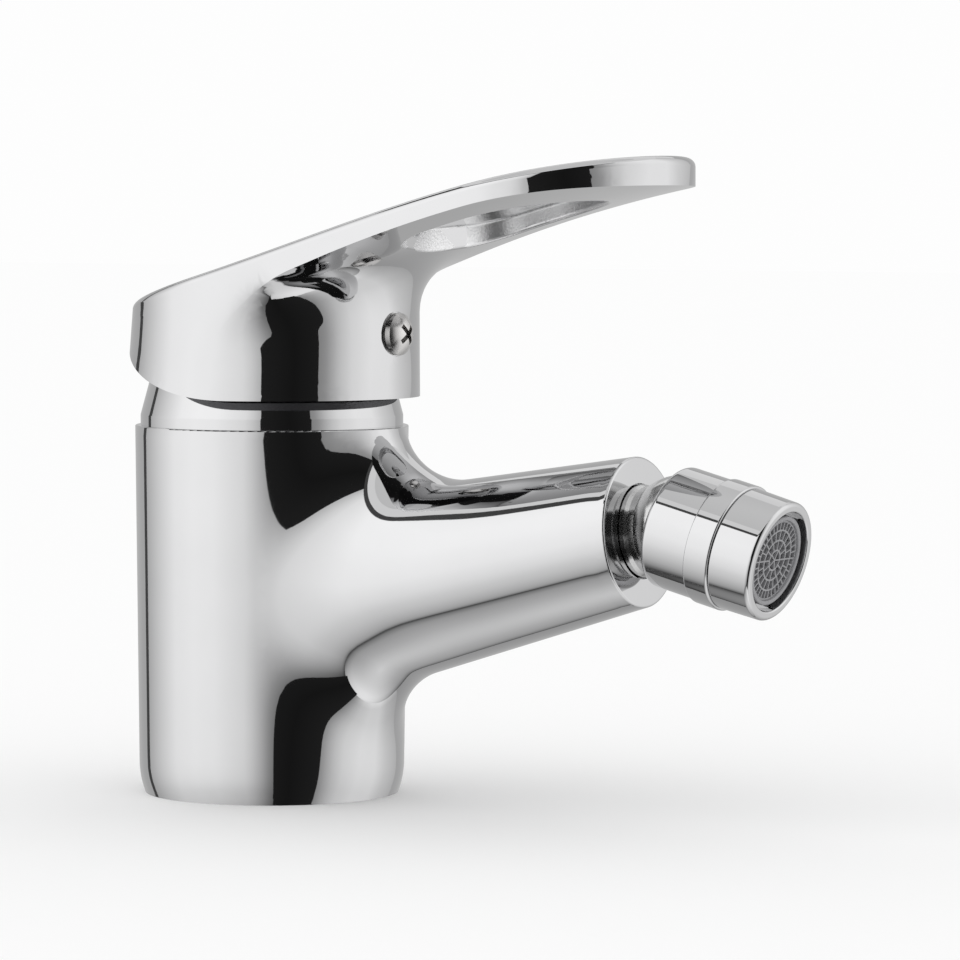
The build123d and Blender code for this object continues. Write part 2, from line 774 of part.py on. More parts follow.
# Cross-headed screw that clamps the lever to the spindle
with BuildPart() as lever_screw:
    with BuildSketch(side_plane(screw_seat_x, screw_z, 0)):
        with BuildLine():
            TangentArc((screw_head_height, 0), (screw_head_side, screw_head_radius), tangent=(0, 1))
            Polyline(
                (screw_head_side, screw_head_radius),
                (0, screw_head_radius),
                (0, screw_radius),
                (screw_point_chamfer - screw_length, screw_radius),
                (-screw_length, screw_radius - screw_point_chamfer),
                (-screw_length, 0),
                (screw_head_height, 0),
            )
        make_face()
    revolve(axis=turning_axis(screw_seat_x, screw_z, 0))
    with BuildSketch(Plane.YZ.offset(screw_seat_x + screw_head_height)):
        with Locations((0, screw_z)):
            with PolarLocations(0, 2, start_angle=cross_turn, angular_range=180, rotate=True):
                Rectangle(cross_length, cross_width)
    extrude(amount=-cross_depth, mode=Mode.SUBTRACT)
lever_screw.part.label = "lever_screw"
export_step(lever_screw.part, "parts/lever_screw.step")

# Ball stem: threaded shank, flange, neck and a ball bored through
with BuildPart() as ball_stem:
    with BuildSketch(side_plane(spout_end_x, spout_end_z, spout_face_tilt)):
        with BuildLine():
            Polyline(
                (-socket_depth - stem_thread_length + running_gap, 0),
                (-socket_depth - stem_thread_length + running_gap, stem_thread_radius),
                (-stem_flange_sunk, stem_thread_radius),
                (-stem_flange_sunk, stem_flange_radius),
                (stem_flange_length, stem_flange_radius),
                (stem_flange_length + stem_flange_taper, ball_neck_radius),
                (ball_meet, ball_neck_radius),
            )
            ThreePointArc(
                (ball_meet, ball_neck_radius),
                (ball_offset, ball_radius),
                (ball_offset + ball_flat, ball_flat_radius),
            )
            Polyline(
                (ball_offset + ball_flat, ball_flat_radius),
                (ball_offset + ball_flat, 0),
                (-socket_depth - stem_thread_length + running_gap, 0),
            )
        make_face()
    revolve(axis=turning_axis(spout_end_x, spout_end_z, spout_face_tilt))
    with BuildSketch(side_plane(spout_end_x, spout_end_z, spout_face_tilt)):
        with Locations(Location((ball_offset + groove_forward, groove_out), ball_seal_angle)):
            Rectangle(groove_width + cut_overrun, groove_width)
    revolve(axis=turning_axis(spout_end_x, spout_end_z, spout_face_tilt), mode=Mode.SUBTRACT)
    with BuildSketch(face_plane.offset(ball_offset + ball_flat)):
        Circle(ball_bore_radius)
    extrude(amount=-(ball_offset + ball_flat + socket_depth + stem_thread_length), mode=Mode.SUBTRACT)
    with BuildSketch(face_plane.offset(ball_offset + ball_flat)):
        RegularPolygon(ball_hex_width / 2, 6, major_radius=False)
    extrude(amount=-ball_hex_depth, mode=Mode.SUBTRACT)
ball_stem.part.label = "ball_stem"
export_step(ball_stem.part, "parts/ball_stem.step")

with BuildPart() as stem_gasket:
    with BuildSketch(face_plane.offset(-socket_depth)):
        Circle(stem_flange_radius)
        Circle(stem_thread_radius + thread_gap, mode=Mode.SUBTRACT)
    extrude(amount=stem_gasket_thickness)
stem_gasket.part.label = "stem_gasket"
export_step(stem_gasket.part, "parts/stem_gasket.step")

with BuildPart() as ball_seal:
    with BuildSketch(side_plane(spout_end_x, spout_end_z, spout_face_tilt)):
        with Locations((ball_offset + seal_forward, seal_out)):
            Circle(ball_seal_wire)
    revolve(axis=turning_axis(spout_end_x, spout_end_z, spout_face_tilt))
ball_seal.part.label = "ball_seal"
export_step(ball_seal.part, "parts/ball_seal.step")

# Spray end, drawn along its own axis from the centre of the ball
spray_side = side_plane(ball_x, ball_z, -spray_drop)
spray_cross = cross_plane(ball_x, ball_z, -spray_drop)
spray_axis = turning_axis(ball_x, ball_z, -spray_drop)

with BuildPart() as seat_ring:
    with BuildSketch(spray_side):
        with BuildLine():
            ThreePointArc(
                (seat_ring_start, seat_meet_out),
                (housing_bore * cos(seat_middle_turn), housing_bore * sin(seat_middle_turn)),
                (seat_meet_in, seat_ring_bore),
            )
            Polyline(
                (seat_meet_in, seat_ring_bore),
                (seat_ring_end, seat_ring_bore),
                (seat_ring_end, ball_radius),
                (seat_ring_start, ball_radius),
                (seat_ring_start, seat_meet_out),
            )
        make_face()
    revolve(axis=spray_axis)
seat_ring.part.label = "seat_ring"
export_step(seat_ring.part, "parts/seat_ring.step")

# Swivel housing: rear barrel with a lip behind the ball and a raised ring at its front
with BuildPart() as swivel_housing:
    with BuildSketch(spray_side) as housing_profile:
        with BuildLine():
            ThreePointArc(
                (-spray_lip, lip_radius),
                (-spray_lip / 2, sqrt(housing_bore**2 - (spray_lip / 2) ** 2)),
                (0, housing_bore),
            )
            Polyline(
                (0, housing_bore),
                (ring_end, housing_bore),
                (ring_end, ring_radius),
                (ring_start, ring_radius),
                (ring_start, spray_rear_radius),
                (-spray_lip, spray_rear_radius),
                (-spray_lip, lip_radius),
            )
        make_face()
        fillet(corner_at(housing_profile, -spray_lip, spray_rear_radius), spray_rear_round)
        fillet(
            [corner_at(housing_profile, place, ring_radius) for place in (ring_start, ring_end)],
            ring_round,
        )
    revolve(axis=spray_axis)
swivel_housing.part.label = "swivel_housing"
export_step(swivel_housing.part, "parts/swivel_housing.step")

# Front barrel: its spigot enters the swivel housing, its shoulder holds the insert
with BuildPart() as aerator_housing:
    with BuildSketch(spray_side) as barrel_profile:
        with BuildLine():
            Polyline(
                (spigot_start, spigot_bore),
                (spigot_start, housing_bore - thread_gap),
                (ring_end + front_groove, housing_bore - thread_gap),
                (ring_end + front_groove, front_rear_radius),
                (spray_reach, front_rim_radius),
                (spray_reach, mouth_radius),
                (shoulder_end, mouth_radius),
                (shoulder_end, shoulder_radius),
                (shoulder_start, shoulder_radius),
                (shoulder_start, spigot_bore),
                close=True,
            )
        make_face()
        fillet(corner_at(barrel_profile, spray_reach, front_rim_radius), front_rim_round)
        fillet(corner_at(barrel_profile, spray_reach, mouth_radius), insert_edge_round)
        fillet(corner_at(barrel_profile, ring_end + front_groove, front_rear_radius), front_groove)
    revolve(axis=spray_axis)
aerator_housing.part.label = "aerator_housing"
export_step(aerator_housing.part, "parts/aerator_housing.step")

with BuildPart() as aerator_gasket:
    with BuildSketch(spray_cross.offset(spigot_start)):
        Circle(spigot_bore - running_gap)
        Circle(gasket_bore, mode=Mode.SUBTRACT)
    extrude(amount=gasket_thickness)
aerator_gasket.part.label = "aerator_gasket"
export_step(aerator_gasket.part, "parts/aerator_gasket.step")

# Insert of the aerator: a stepped sleeve with its sieve, mixing screens and front grid
insert_start = spigot_start + gasket_thickness
grid_back = insert_reach - grid_sunk - grid_depth
with BuildPart() as aerator_body:
    with BuildSketch(spray_side) as insert_profile:
        with BuildLine():
            Polyline(
                (insert_start, insert_throat),
                (insert_start, spigot_bore - running_gap),
                (shoulder_start, spigot_bore - running_gap),
                (shoulder_start, insert_nose_radius),
                (insert_reach, insert_nose_radius),
                (insert_reach, insert_bore),
                (grid_back, insert_bore),
                (grid_back, insert_throat),
                close=True,
            )
        make_face()
        fillet(
            [corner_at(insert_profile, insert_reach, edge) for edge in (insert_nose_radius, insert_bore)],
            insert_edge_round,
        )
    revolve(axis=spray_axis)
aerator_body.part.label = "aerator_body"
export_step(aerator_body.part, "parts/aerator_body.step")

with BuildPart() as aerator_sieve:
    with BuildSketch(spray_side):
        with BuildLine():
            Polyline(
                (insert_start, gasket_bore - running_gap),
                (insert_start - sieve_thickness, gasket_bore - running_gap),
                (insert_start - sieve_thickness - sieve_height, 0),
                (insert_start - sieve_height, 0),
                close=True,
            )
        make_face()
    revolve(axis=spray_axis)
aerator_sieve.part.label = "aerator_sieve"
export_step(aerator_sieve.part, "parts/aerator_sieve.step")

with BuildPart() as mixing_screens:
    for place in range(mixing_screen_count):
        with BuildSketch(spray_cross.offset(grid_back - (place + 1) * mixing_screen_gap)):
            Circle(insert_throat - running_gap)
            for row in range(1, mixing_row_count + 1):
                with PolarLocations(row * mixing_hole_spacing, row * mixing_hole_count):
                    Circle(mixing_hole_radius, mode=Mode.SUBTRACT)
        extrude(amount=-mixing_screen_thickness)
mixing_screens.part.label = "mixing_screens"
export_step(mixing_screens.part, "parts/mixing_screens.step")

with BuildPart() as aerator_grid:
    with BuildSketch(spray_cross.offset(grid_back)):
        Circle(insert_bore - running_gap)
        Circle(insert_bore - running_gap - grid_ring_wall, mode=Mode.SUBTRACT)
        for share in grid_radius_shares:
            with BuildSketch(mode=Mode.PRIVATE) as ring:
                Circle(share * insert_bore + grid_ring_wall / 2)
                Circle(share * insert_bore - grid_ring_wall / 2, mode=Mode.SUBTRACT)
            add(ring.sketch)
        inner_radius = 0
        for share, count in zip((*grid_radius_shares, 1), grid_bar_counts):
            bar_length = share * insert_bore - inner_radius - running_gap
            with PolarLocations(inner_radius + bar_length / 2, count):
                Rectangle(bar_length, grid_bar_wall)
            inner_radius = share * insert_bore
    extrude(amount=grid_depth)
aerator_grid.part.label = "aerator_grid"
export_step(aerator_grid.part, "parts/aerator_grid.step")
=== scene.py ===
"""Bidet mixer in polished chrome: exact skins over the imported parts, finishes, studio and camera."""

import json
import logging
from dataclasses import dataclass, field
from enum import Enum
from math import acos, atan2, cos, hypot, pi, radians, sin, sqrt, tan
from typing import Callable, Iterable, Iterator, Protocol

import bmesh
import bpy
import numpy as np
from mathutils import Matrix, Vector
from mathutils.bvhtree import BVHTree

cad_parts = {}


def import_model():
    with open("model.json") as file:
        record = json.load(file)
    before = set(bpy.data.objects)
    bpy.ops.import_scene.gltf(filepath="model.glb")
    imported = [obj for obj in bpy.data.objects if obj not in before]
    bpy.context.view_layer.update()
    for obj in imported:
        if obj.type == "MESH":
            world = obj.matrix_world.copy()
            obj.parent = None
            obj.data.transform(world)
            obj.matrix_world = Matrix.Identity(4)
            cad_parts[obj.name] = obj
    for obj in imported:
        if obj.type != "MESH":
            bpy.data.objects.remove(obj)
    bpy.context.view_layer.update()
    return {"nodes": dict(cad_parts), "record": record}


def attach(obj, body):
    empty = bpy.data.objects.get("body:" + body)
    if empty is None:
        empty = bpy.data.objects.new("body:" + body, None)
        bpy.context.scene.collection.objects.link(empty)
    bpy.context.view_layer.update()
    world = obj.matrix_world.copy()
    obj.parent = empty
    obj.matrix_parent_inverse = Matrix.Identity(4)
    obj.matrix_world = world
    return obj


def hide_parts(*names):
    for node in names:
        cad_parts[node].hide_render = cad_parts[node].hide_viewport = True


log = logging.getLogger("bidet_mixer")

# Sizes that several pieces share, in metres
BODY_HEIGHT = 0.0711
SPOUT_END_X = 0.08245
SPOUT_END_Z = BODY_HEIGHT - 0.0176
SPOUT_FACE_TILT = radians(4.6)
BALL_OFFSET = 0.00858
BALL_RADIUS = 0.010
HOUSING_BORE = 0.01005
SPRAY_DROP = radians(14.4)
RING_END = 0.0127

# How finely round pieces are cut, the angle of a sharp edge, and distances that make two points one
SEGMENTS = 192
FINE_SEGMENTS = 128
TURNED_CREASE = radians(30)
MERGE = 1e-6
FINE_MERGE = 1e-7


class Finish(Enum):
    """The finishes of the mixer, each named as in the record's material slots."""

    CHROME = "polished_chrome"
    STEEL = "stainless_steel"
    BRASS = "raw_brass"
    WHITE_POLYMER = "white_polymer"
    GREY_POLYMER = "grey_polymer"
    CERAMIC = "ceramic"
    RUBBER = "black_rubber"


# Node groups and materials

DETAIL_INPUTS = (("Scale", 400.0), ("Low", 0.03), ("High", 0.06), ("Depth", 0.05))
NOISE_DETAIL = 4.0
BUMP_DISTANCE = 0.0001


def surface_detail_group() -> bpy.types.NodeTree:
    """Makes the shared group that turns object coordinates into fine unevenness.

    Returns:
        A node group with a roughness value, a mask and a normal.
    """
    tree = bpy.data.node_groups.new("surface_detail", "ShaderNodeTree")
    face = tree.interface
    face.new_socket("Vector", in_out="INPUT", socket_type="NodeSocketVector")
    for name, value in DETAIL_INPUTS:
        face.new_socket(name, in_out="INPUT", socket_type="NodeSocketFloat").default_value = value
    face.new_socket("Roughness", in_out="OUTPUT", socket_type="NodeSocketFloat")
    face.new_socket("Mask", in_out="OUTPUT", socket_type="NodeSocketFloat")
    face.new_socket("Normal", in_out="OUTPUT", socket_type="NodeSocketVector")
    nodes, links = tree.nodes, tree.links
    entry, leave = nodes.new("NodeGroupInput"), nodes.new("NodeGroupOutput")
    noise = nodes.new("ShaderNodeTexNoise")
    noise.inputs["Detail"].default_value = NOISE_DETAIL
    spread = nodes.new("ShaderNodeMapRange")
    bump = nodes.new("ShaderNodeBump")
    bump.inputs["Distance"].default_value = BUMP_DISTANCE
    links.new(entry.outputs["Vector"], noise.inputs["Vector"])
    links.new(entry.outputs["Scale"], noise.inputs["Scale"])
    links.new(noise.outputs["Fac"], spread.inputs["Value"])
    links.new(entry.outputs["Low"], spread.inputs["To Min"])
    links.new(entry.outputs["High"], spread.inputs["To Max"])
    links.new(noise.outputs["Fac"], bump.inputs["Height"])
    links.new(entry.outputs["Depth"], bump.inputs["Strength"])
    links.new(spread.outputs["Result"], leave.inputs["Roughness"])
    links.new(noise.outputs["Fac"], leave.inputs["Mask"])
    links.new(bump.outputs["Normal"], leave.inputs["Normal"])
    return tree


@dataclass(frozen=True)
class Surface:
    """A procedural finish: one Principled shader with fine detail from object coordinates."""

    name: str
    colour: tuple[float, float, float]
    tint: tuple[float, float, float]
    metallic: float
    rough_low: float
    rough_high: float
    scale: float
    depth: float
    ior: float = 1.5

    def build(self, detail: bpy.types.NodeTree) -> bpy.types.Material:
        """Makes the material.

        Args:
            detail: The shared group of fine unevenness.

        Returns:
            The finished material.
        """
        material = bpy.data.materials.new(self.name)
        material.use_nodes = True
        material.diffuse_color = (*self.colour, 1.0)
        nodes, links = material.node_tree.nodes, material.node_tree.links
        shader = nodes["Principled BSDF"]
        shader.inputs["Metallic"].default_value = self.metallic
        shader.inputs["IOR"].default_value = self.ior
        place = nodes.new("ShaderNodeTexCoord")
        grain = nodes.new("ShaderNodeGroup")
        grain.node_tree = detail
        grain.inputs["Scale"].default_value = self.scale
        grain.inputs["Low"].default_value = self.rough_low
        grain.inputs["High"].default_value = self.rough_high
        grain.inputs["Depth"].default_value = self.depth
        shade = nodes.new("ShaderNodeMix")
        shade.data_type = "RGBA"
        shade.inputs["A"].default_value = (*self.colour, 1.0)
        shade.inputs["B"].default_value = (*self.tint, 1.0)
        links.new(place.outputs["Object"], grain.inputs["Vector"])
        links.new(grain.outputs["Mask"], shade.inputs["Factor"])
        links.new(shade.outputs["Result"], shader.inputs["Base Color"])
        links.new(grain.outputs["Roughness"], shader.inputs["Roughness"])
        links.new(grain.outputs["Normal"], shader.inputs["Normal"])
        return material


@dataclass
class Palette:
    """Every finish of the mixer, built once."""

    chrome: Surface = Surface(
        "chrome", (0.60, 0.60, 0.605), (0.57, 0.57, 0.575), 1.0, 0.02, 0.04, 90.0, 0.02
    )
    cast: Surface = Surface(
        "cast_chrome", (0.95, 0.95, 0.95), (0.74, 0.74, 0.75), 1.0, 0.30, 0.48, 2600.0, 0.8
    )
    # Unpolished casting finish, darkened as painted shade: it stands in for the shadow in the gap under the
    # lever's hub
    raw_and_gap_shade: Surface = Surface(
        "raw_casting_painted_shade", (0.20, 0.20, 0.21), (0.13, 0.13, 0.14), 1.0, 0.50, 0.65, 1500.0, 0.4
    )
    worn: Surface = Surface(
        "worn_chrome", (0.62, 0.62, 0.62), (0.52, 0.52, 0.52), 1.0, 0.10, 0.24, 1400.0, 0.15
    )
    steel: Surface = Surface(
        "bright_steel", (0.68, 0.67, 0.66), (0.60, 0.59, 0.58), 1.0, 0.20, 0.28, 700.0, 0.01
    )
    brass: Surface = Surface(
        "turned_brass", (0.68, 0.50, 0.24), (0.55, 0.38, 0.17), 1.0, 0.22, 0.38, 600.0, 0.2
    )
    white: Surface = Surface(
        "white_polymer", (0.80, 0.80, 0.78), (0.74, 0.74, 0.72), 0.0, 0.38, 0.50, 500.0, 0.2
    )
    grey: Surface = Surface(
        "grey_polymer", (0.30, 0.30, 0.31), (0.24, 0.24, 0.25), 0.0, 0.34, 0.48, 700.0, 0.3
    )
    ceramic: Surface = Surface(
        "sintered_ceramic", (0.86, 0.84, 0.79), (0.80, 0.78, 0.72), 0.0, 0.12, 0.2, 900.0, 0.1
    )
    rubber: Surface = Surface(
        "black_rubber", (0.022, 0.022, 0.023), (0.03, 0.03, 0.03), 0.0, 0.5, 0.7, 800.0, 0.4
    )
    made: dict[Finish, bpy.types.Material] = field(default_factory=dict)
    cast_made: bpy.types.Material | None = None
    worn_made: bpy.types.Material | None = None
    raw_and_gap_shade_made: bpy.types.Material | None = None

    def build(self) -> None:
        """Makes every material of the palette."""
        detail = surface_detail_group()
        rows = (
            (Finish.CHROME, self.chrome),
            (Finish.STEEL, self.steel),
            (Finish.BRASS, self.brass),
            (Finish.WHITE_POLYMER, self.white),
            (Finish.GREY_POLYMER, self.grey),
            (Finish.CERAMIC, self.ceramic),
            (Finish.RUBBER, self.rubber),
        )
        for finish, surface in rows:
            self.made[finish] = surface.build(detail)
        self.cast_made = self.cast.build(detail)
        self.worn_made = self.worn.build(detail)
        self.raw_and_gap_shade_made = self.raw_and_gap_shade.build(detail)
        log.info("palette: %d slots, and finishes for castings and worn chrome", len(self.made))

    def dress(self, piece: bpy.types.Object, finish: Finish) -> None:
        """Gives a piece one finish.

        Args:
            piece: The mesh object.
            finish: Its finish.
        """
        piece.data.materials.clear()
        piece.data.materials.append(self.made[finish])


# Walls whose distance and outward normal are known everywhere


class Wall(Protocol):
    """A surface that can be measured from points near it."""

    def measure(self, points: np.ndarray) -> tuple[np.ndarray, np.ndarray]:
        """Signed distances, positive outside, and outward unit normals."""


def unit(vectors: np.ndarray) -> np.ndarray:
    """Vectors scaled to length one."""
    return vectors / np.maximum(np.linalg.norm(vectors, axis=1, keepdims=True), 1e-12)


def dot(a: np.ndarray, b: np.ndarray) -> np.ndarray:
    """Row by row dot product."""
    return np.einsum("ij,ij->i", a, b)


@dataclass(frozen=True)
class ConeWall:
    """Round wall about an axis, with a radius that changes evenly along it."""

    origin: tuple[float, float, float]
    direction: tuple[float, float, float]
    radius: float
    slope: float

    def measure(self, points: np.ndarray) -> tuple[np.ndarray, np.ndarray]:
        """Signed distances and outward unit normals.

        Args:
            points: Rows of x, y and z.

        Returns:
            The distances and the normals.
        """
        axis = np.array(self.direction)
        offset = points - np.array(self.origin)
        along = offset @ axis
        across = offset - np.outer(along, axis)
        reach = np.linalg.norm(across, axis=1)
        share = 1 / sqrt(1 + self.slope**2)
        normal = (unit(across) - self.slope * axis) * share
        return (reach - self.radius - self.slope * along) * share, normal


@dataclass(frozen=True)
class BallWall:
    """Round ball."""

    centre: tuple[float, float, float]
    radius: float

    def measure(self, points: np.ndarray) -> tuple[np.ndarray, np.ndarray]:
        """Signed distances and outward unit normals.

        Args:
            points: Rows of x, y and z.

        Returns:
            The distances and the normals.
        """
        offset = points - np.array(self.centre)
        return np.linalg.norm(offset, axis=1) - self.radius, unit(offset)


@dataclass(frozen=True)
class HoopWall:
    """Bulging wall turned about Z from an arc."""

    out: float
    height: float
    radius: float

    def measure(self, points: np.ndarray) -> tuple[np.ndarray, np.ndarray]:
        """Signed distances and outward unit normals.

        Args:
            points: Rows of x, y and z.

        Returns:
            The distances and the normals.
        """
        reach = np.hypot(points[:, 0], points[:, 1])
        outward = np.stack([points[:, 0], points[:, 1], np.zeros(len(points))], axis=1)
        offset = points - unit(outward) * self.out
        offset[:, 2] -= self.height
        flat = np.hypot(reach - self.out, points[:, 2] - self.height)
        return flat - self.radius, unit(offset)


@dataclass(frozen=True)
class DraftedWall:
    """Upright wall round two circles that draw in evenly with height."""

    low_z: float
    draft: float
    first_x: float
    first_radius: float
    second_x: float
    second_radius: float

    def measure(self, points: np.ndarray) -> tuple[np.ndarray, np.ndarray]:
        """Signed distances and outward unit normals.

        Args:
            points: Rows of x, y and z.

        Returns:
            The distances and the normals.
        """
        drawn = self.draft * (points[:, 2] - self.low_z)
        side = np.where(points[:, 1] < 0, -1.0, 1.0)
        flank_x = (self.first_radius - self.second_radius) / (self.second_x - self.first_x)
        flank_y = sqrt(1 - flank_x**2)
        plan = np.stack([points[:, 0] - self.first_x - drawn, np.abs(points[:, 1])], axis=1)
        along = plan[:, 0] * flank_y - plan[:, 1] * flank_x
        span = (self.second_x - self.first_x) * flank_y
        far = plan - np.array([self.second_x - self.first_x, 0.0])
        first, second = along < 0, along > span
        normal = np.tile(np.array([flank_x, flank_y]), (len(points), 1))
        normal[first] = unit(plan[first])
        normal[second] = unit(far[second])
        reach = dot(plan, normal) - self.first_radius + drawn
        reach[second] = dot(far, normal)[second] - self.second_radius + drawn[second]
        rise = self.draft * (1 - normal[:, 0])
        whole = np.stack([normal[:, 0], normal[:, 1] * side, rise], axis=1)
        return reach / np.linalg.norm(whole, axis=1), unit(whole)


@dataclass(frozen=True)
class SheetWall:
    """Top sheet that is straight from side to side and follows a curve along X."""

    curve: np.poly1d

    def measure(self, points: np.ndarray) -> tuple[np.ndarray, np.ndarray]:
        """Signed distances and outward unit normals.

        Args:
            points: Rows of x, y and z.

        Returns:
            The distances and the normals.
        """
        steep = self.curve.deriv()(points[:, 0])
        whole = np.stack([-steep, np.zeros(len(points)), np.ones(len(points))], axis=1)
        over = points[:, 2] - self.curve(points[:, 0])
        return over / np.linalg.norm(whole, axis=1), unit(whole)


@dataclass(frozen=True)
class CrownWall:
    """Crowned underside: an arc along X, with a straight tail, turned about an axis high over it."""

    start: tuple[float, float]
    middle: tuple[float, float]
    end: tuple[float, float]
    tail_slope: float
    axis_z: float

    def centre(self) -> tuple[float, float, float]:
        """Circle through the three points.

        Returns:
            The x and z of its centre, and its radius.
        """
        (ax, az), (bx, bz), (cx, cz) = self.start, self.middle, self.end
        turn = 2 * (ax * (bz - cz) + bx * (cz - az) + cx * (az - bz))
        a, b, c = ax**2 + az**2, bx**2 + bz**2, cx**2 + cz**2
        x = (a * (bz - cz) + b * (cz - az) + c * (az - bz)) / turn
        z = (a * (cx - bx) + b * (ax - cx) + c * (bx - ax)) / turn
        return x, z, hypot(ax - x, az - z)

    def measure(self, points: np.ndarray) -> tuple[np.ndarray, np.ndarray]:
        """Signed distances and outward unit normals.

        Args:
            points: Rows of x, y and z.

        Returns:
            The distances and the normals.
        """
        x, z, radius = self.centre()
        drop = self.axis_z - points[:, 2]
        reach = np.hypot(points[:, 1], drop)
        level = self.axis_z - reach
        inward = np.stack([x - points[:, 0], z - level], axis=1)
        away = np.linalg.norm(inward, axis=1)
        flat = inward / away[:, None]
        distance = radius - away
        tail = points[:, 0] < self.start[0]
        length = hypot(1.0, self.tail_slope)
        line = self.start[1] + self.tail_slope * (points[:, 0] - self.start[0])
        distance[tail] = ((line - level) / length)[tail]
        flat[tail] = np.array([self.tail_slope, -1.0]) / length
        normal = np.stack([flat[:, 0], -flat[:, 1] * points[:, 1] / reach, flat[:, 1] * drop / reach], axis=1)
        return distance, normal


@dataclass(frozen=True)
class BallBlend:
    """Rounding left by a ball that rolls in touch with two walls, outside or inside them."""

    first: Wall
    second: Wall
    radius: float
    outside: bool
    steps: int = 12
    least_share: float = 1e-4
    lost_share: float = 0.01

    def measure(self, points: np.ndarray) -> tuple[np.ndarray, np.ndarray]:
        """Signed distances and outward unit normals, those of the walls beyond the rounding.

        Args:
            points: Rows of x, y and z.

        Returns:
            The distances and the normals.
        """
        side = 1.0 if self.outside else -1.0
        near_one, one = self.first.measure(points)
        near_two, two = self.second.measure(points)
        own_one, own_two = one, two
        centre = points + side * self.radius * unit(one + two)
        for _ in range(self.steps):
            far_one, one = self.first.measure(centre)
            far_two, two = self.second.measure(centre)
            lack_one, lack_two = side * self.radius - far_one, side * self.radius - far_two
            lean = dot(one, two)
            share = np.maximum(1 - lean**2, self.least_share)
            step_one = (lack_one - lean * lack_two) / share
            step_two = (lack_two - lean * lack_one) / share
            centre = centre + one * step_one[:, None] + two * step_two[:, None]
            way = unit(np.cross(one, two))
            centre = centre + way * dot(points - centre, way)[:, None]
        normal = side * unit(centre - points)
        distance = side * (self.radius - np.linalg.norm(centre - points, axis=1))
        lean = dot(one, two)
        share = np.maximum(1 - lean**2, self.least_share)
        towards_one, towards_two = dot(normal, one), dot(normal, two)
        weight_one = (towards_one - lean * towards_two) / share
        weight_two = (towards_two - lean * towards_one) / share
        lost = np.abs(lack_one) + np.abs(lack_two) > self.lost_share * self.radius
        first = (weight_two <= 0) & ~lost | lost & (np.abs(near_one) < np.abs(near_two))
        second = ~first & ((weight_one <= 0) | lost)
        distance[first], normal[first] = near_one[first], own_one[first]
        distance[second], normal[second] = near_two[second], own_two[second]
        return distance, normal


@dataclass(frozen=True)
class PolishedWall:
    """A wall whose normals lean towards those of a wider rounding, as a polishing belt leaves them."""

    wall: Wall
    wide: BallBlend
    share: Callable[[np.ndarray], np.ndarray]

    def measure(self, points: np.ndarray) -> tuple[np.ndarray, np.ndarray]:
        """Signed distances and outward unit normals.

        Args:
            points: Rows of x, y and z.

        Returns:
            The distances from the wall and the leaning normals.
        """
        distance, normal = self.wall.measure(points)
        share = self.share(points)[:, None]
        return distance, unit(normal * (1 - share) + self.wide.measure(points)[1] * share)


# Meshes


def link_mesh(name: str, shape: bmesh.types.BMesh) -> bpy.types.Object:
    """Puts a finished bmesh in the scene as an object at the origin.

    Args:
        name: The object's name.
        shape: The mesh, which is freed.

    Returns:
        The new object.
    """
    mesh = bpy.data.meshes.new(name)
    shape.to_mesh(mesh)
    shape.free()
    piece = bpy.data.objects.new(name, mesh)
    bpy.context.scene.collection.objects.link(piece)
    return piece


def mark_creases(shape: bmesh.types.BMesh, angle: float) -> None:
    """Makes every face smooth and every edge over an angle a crease.

    Args:
        shape: The mesh.
        angle: The angle between two faces from which their edge stays sharp.
    """
    for face in shape.faces:
        face.smooth = True
    for edge in shape.edges:
        edge.smooth = len(edge.link_faces) == 2 and edge.calc_face_angle(pi) < angle


def arc_points(
    centre: tuple[float, float], radius: float, start: float, end: float, steps: int
) -> list[tuple[float, float]]:
    """Points of an arc in a profile.

    Args:
        centre: Centre, along and out from the axis.
        radius: The arc's radius.
        start: First angle, from the axis direction.
        end: Last angle.
        steps: How many parts it is cut in.

    Returns:
        The points in order.
    """
    turns = [start + (end - start) * i / steps for i in range(steps + 1)]
    return [(centre[0] + radius * cos(t), centre[1] + radius * sin(t)) for t in turns]


def round_corner(
    before: tuple[float, float],
    corner: tuple[float, float],
    after: tuple[float, float],
    radius: float,
    steps: int = 10,
) -> list[tuple[float, float]]:
    """Points that replace a profile's corner by a tangent arc.

    Args:
        before: The point before the corner.
        corner: The corner.
        after: The point after it.
        radius: The arc's radius.
        steps: How many parts it is cut in.

    Returns:
        The points from one straight side to the other.
    """
    here = Vector(corner)
    back, ahead = (Vector(before) - here).normalized(), (Vector(after) - here).normalized()
    half = back.angle(ahead) / 2
    middle = here + (back + ahead).normalized() * (radius / sin(half))
    first = here + back * (radius / tan(half)) - middle
    last = here + ahead * (radius / tan(half)) - middle
    sweep = first.angle(last)
    points = []
    for i in range(steps + 1):
        share = i / steps
        mixed = (first * sin((1 - share) * sweep) + last * sin(share * sweep)) / sin(sweep)
        points.append(tuple(middle + mixed))
    return points


def supported(
    profile: list[tuple[float, float]], margin: float = 0.00008, least: float = 6.0
) -> list[tuple[float, float]]:
    """Adds points close to both ends of every long side, so that its shading stays even.

    Args:
        profile: Points of a closed profile.
        margin: How far from the ends the points go.
        least: How many margins long a side has to be.

    Returns:
        The fuller profile.
    """
    full = []
    for here, ahead in zip(profile, profile[1:] + profile[:1]):
        full.append(here)
        length = hypot(ahead[0] - here[0], ahead[1] - here[1])
        if length > least * margin:
            for share in (margin / length, 1 - margin / length):
                full.append((here[0] + share * (ahead[0] - here[0]), here[1] + share * (ahead[1] - here[1])))
    return full


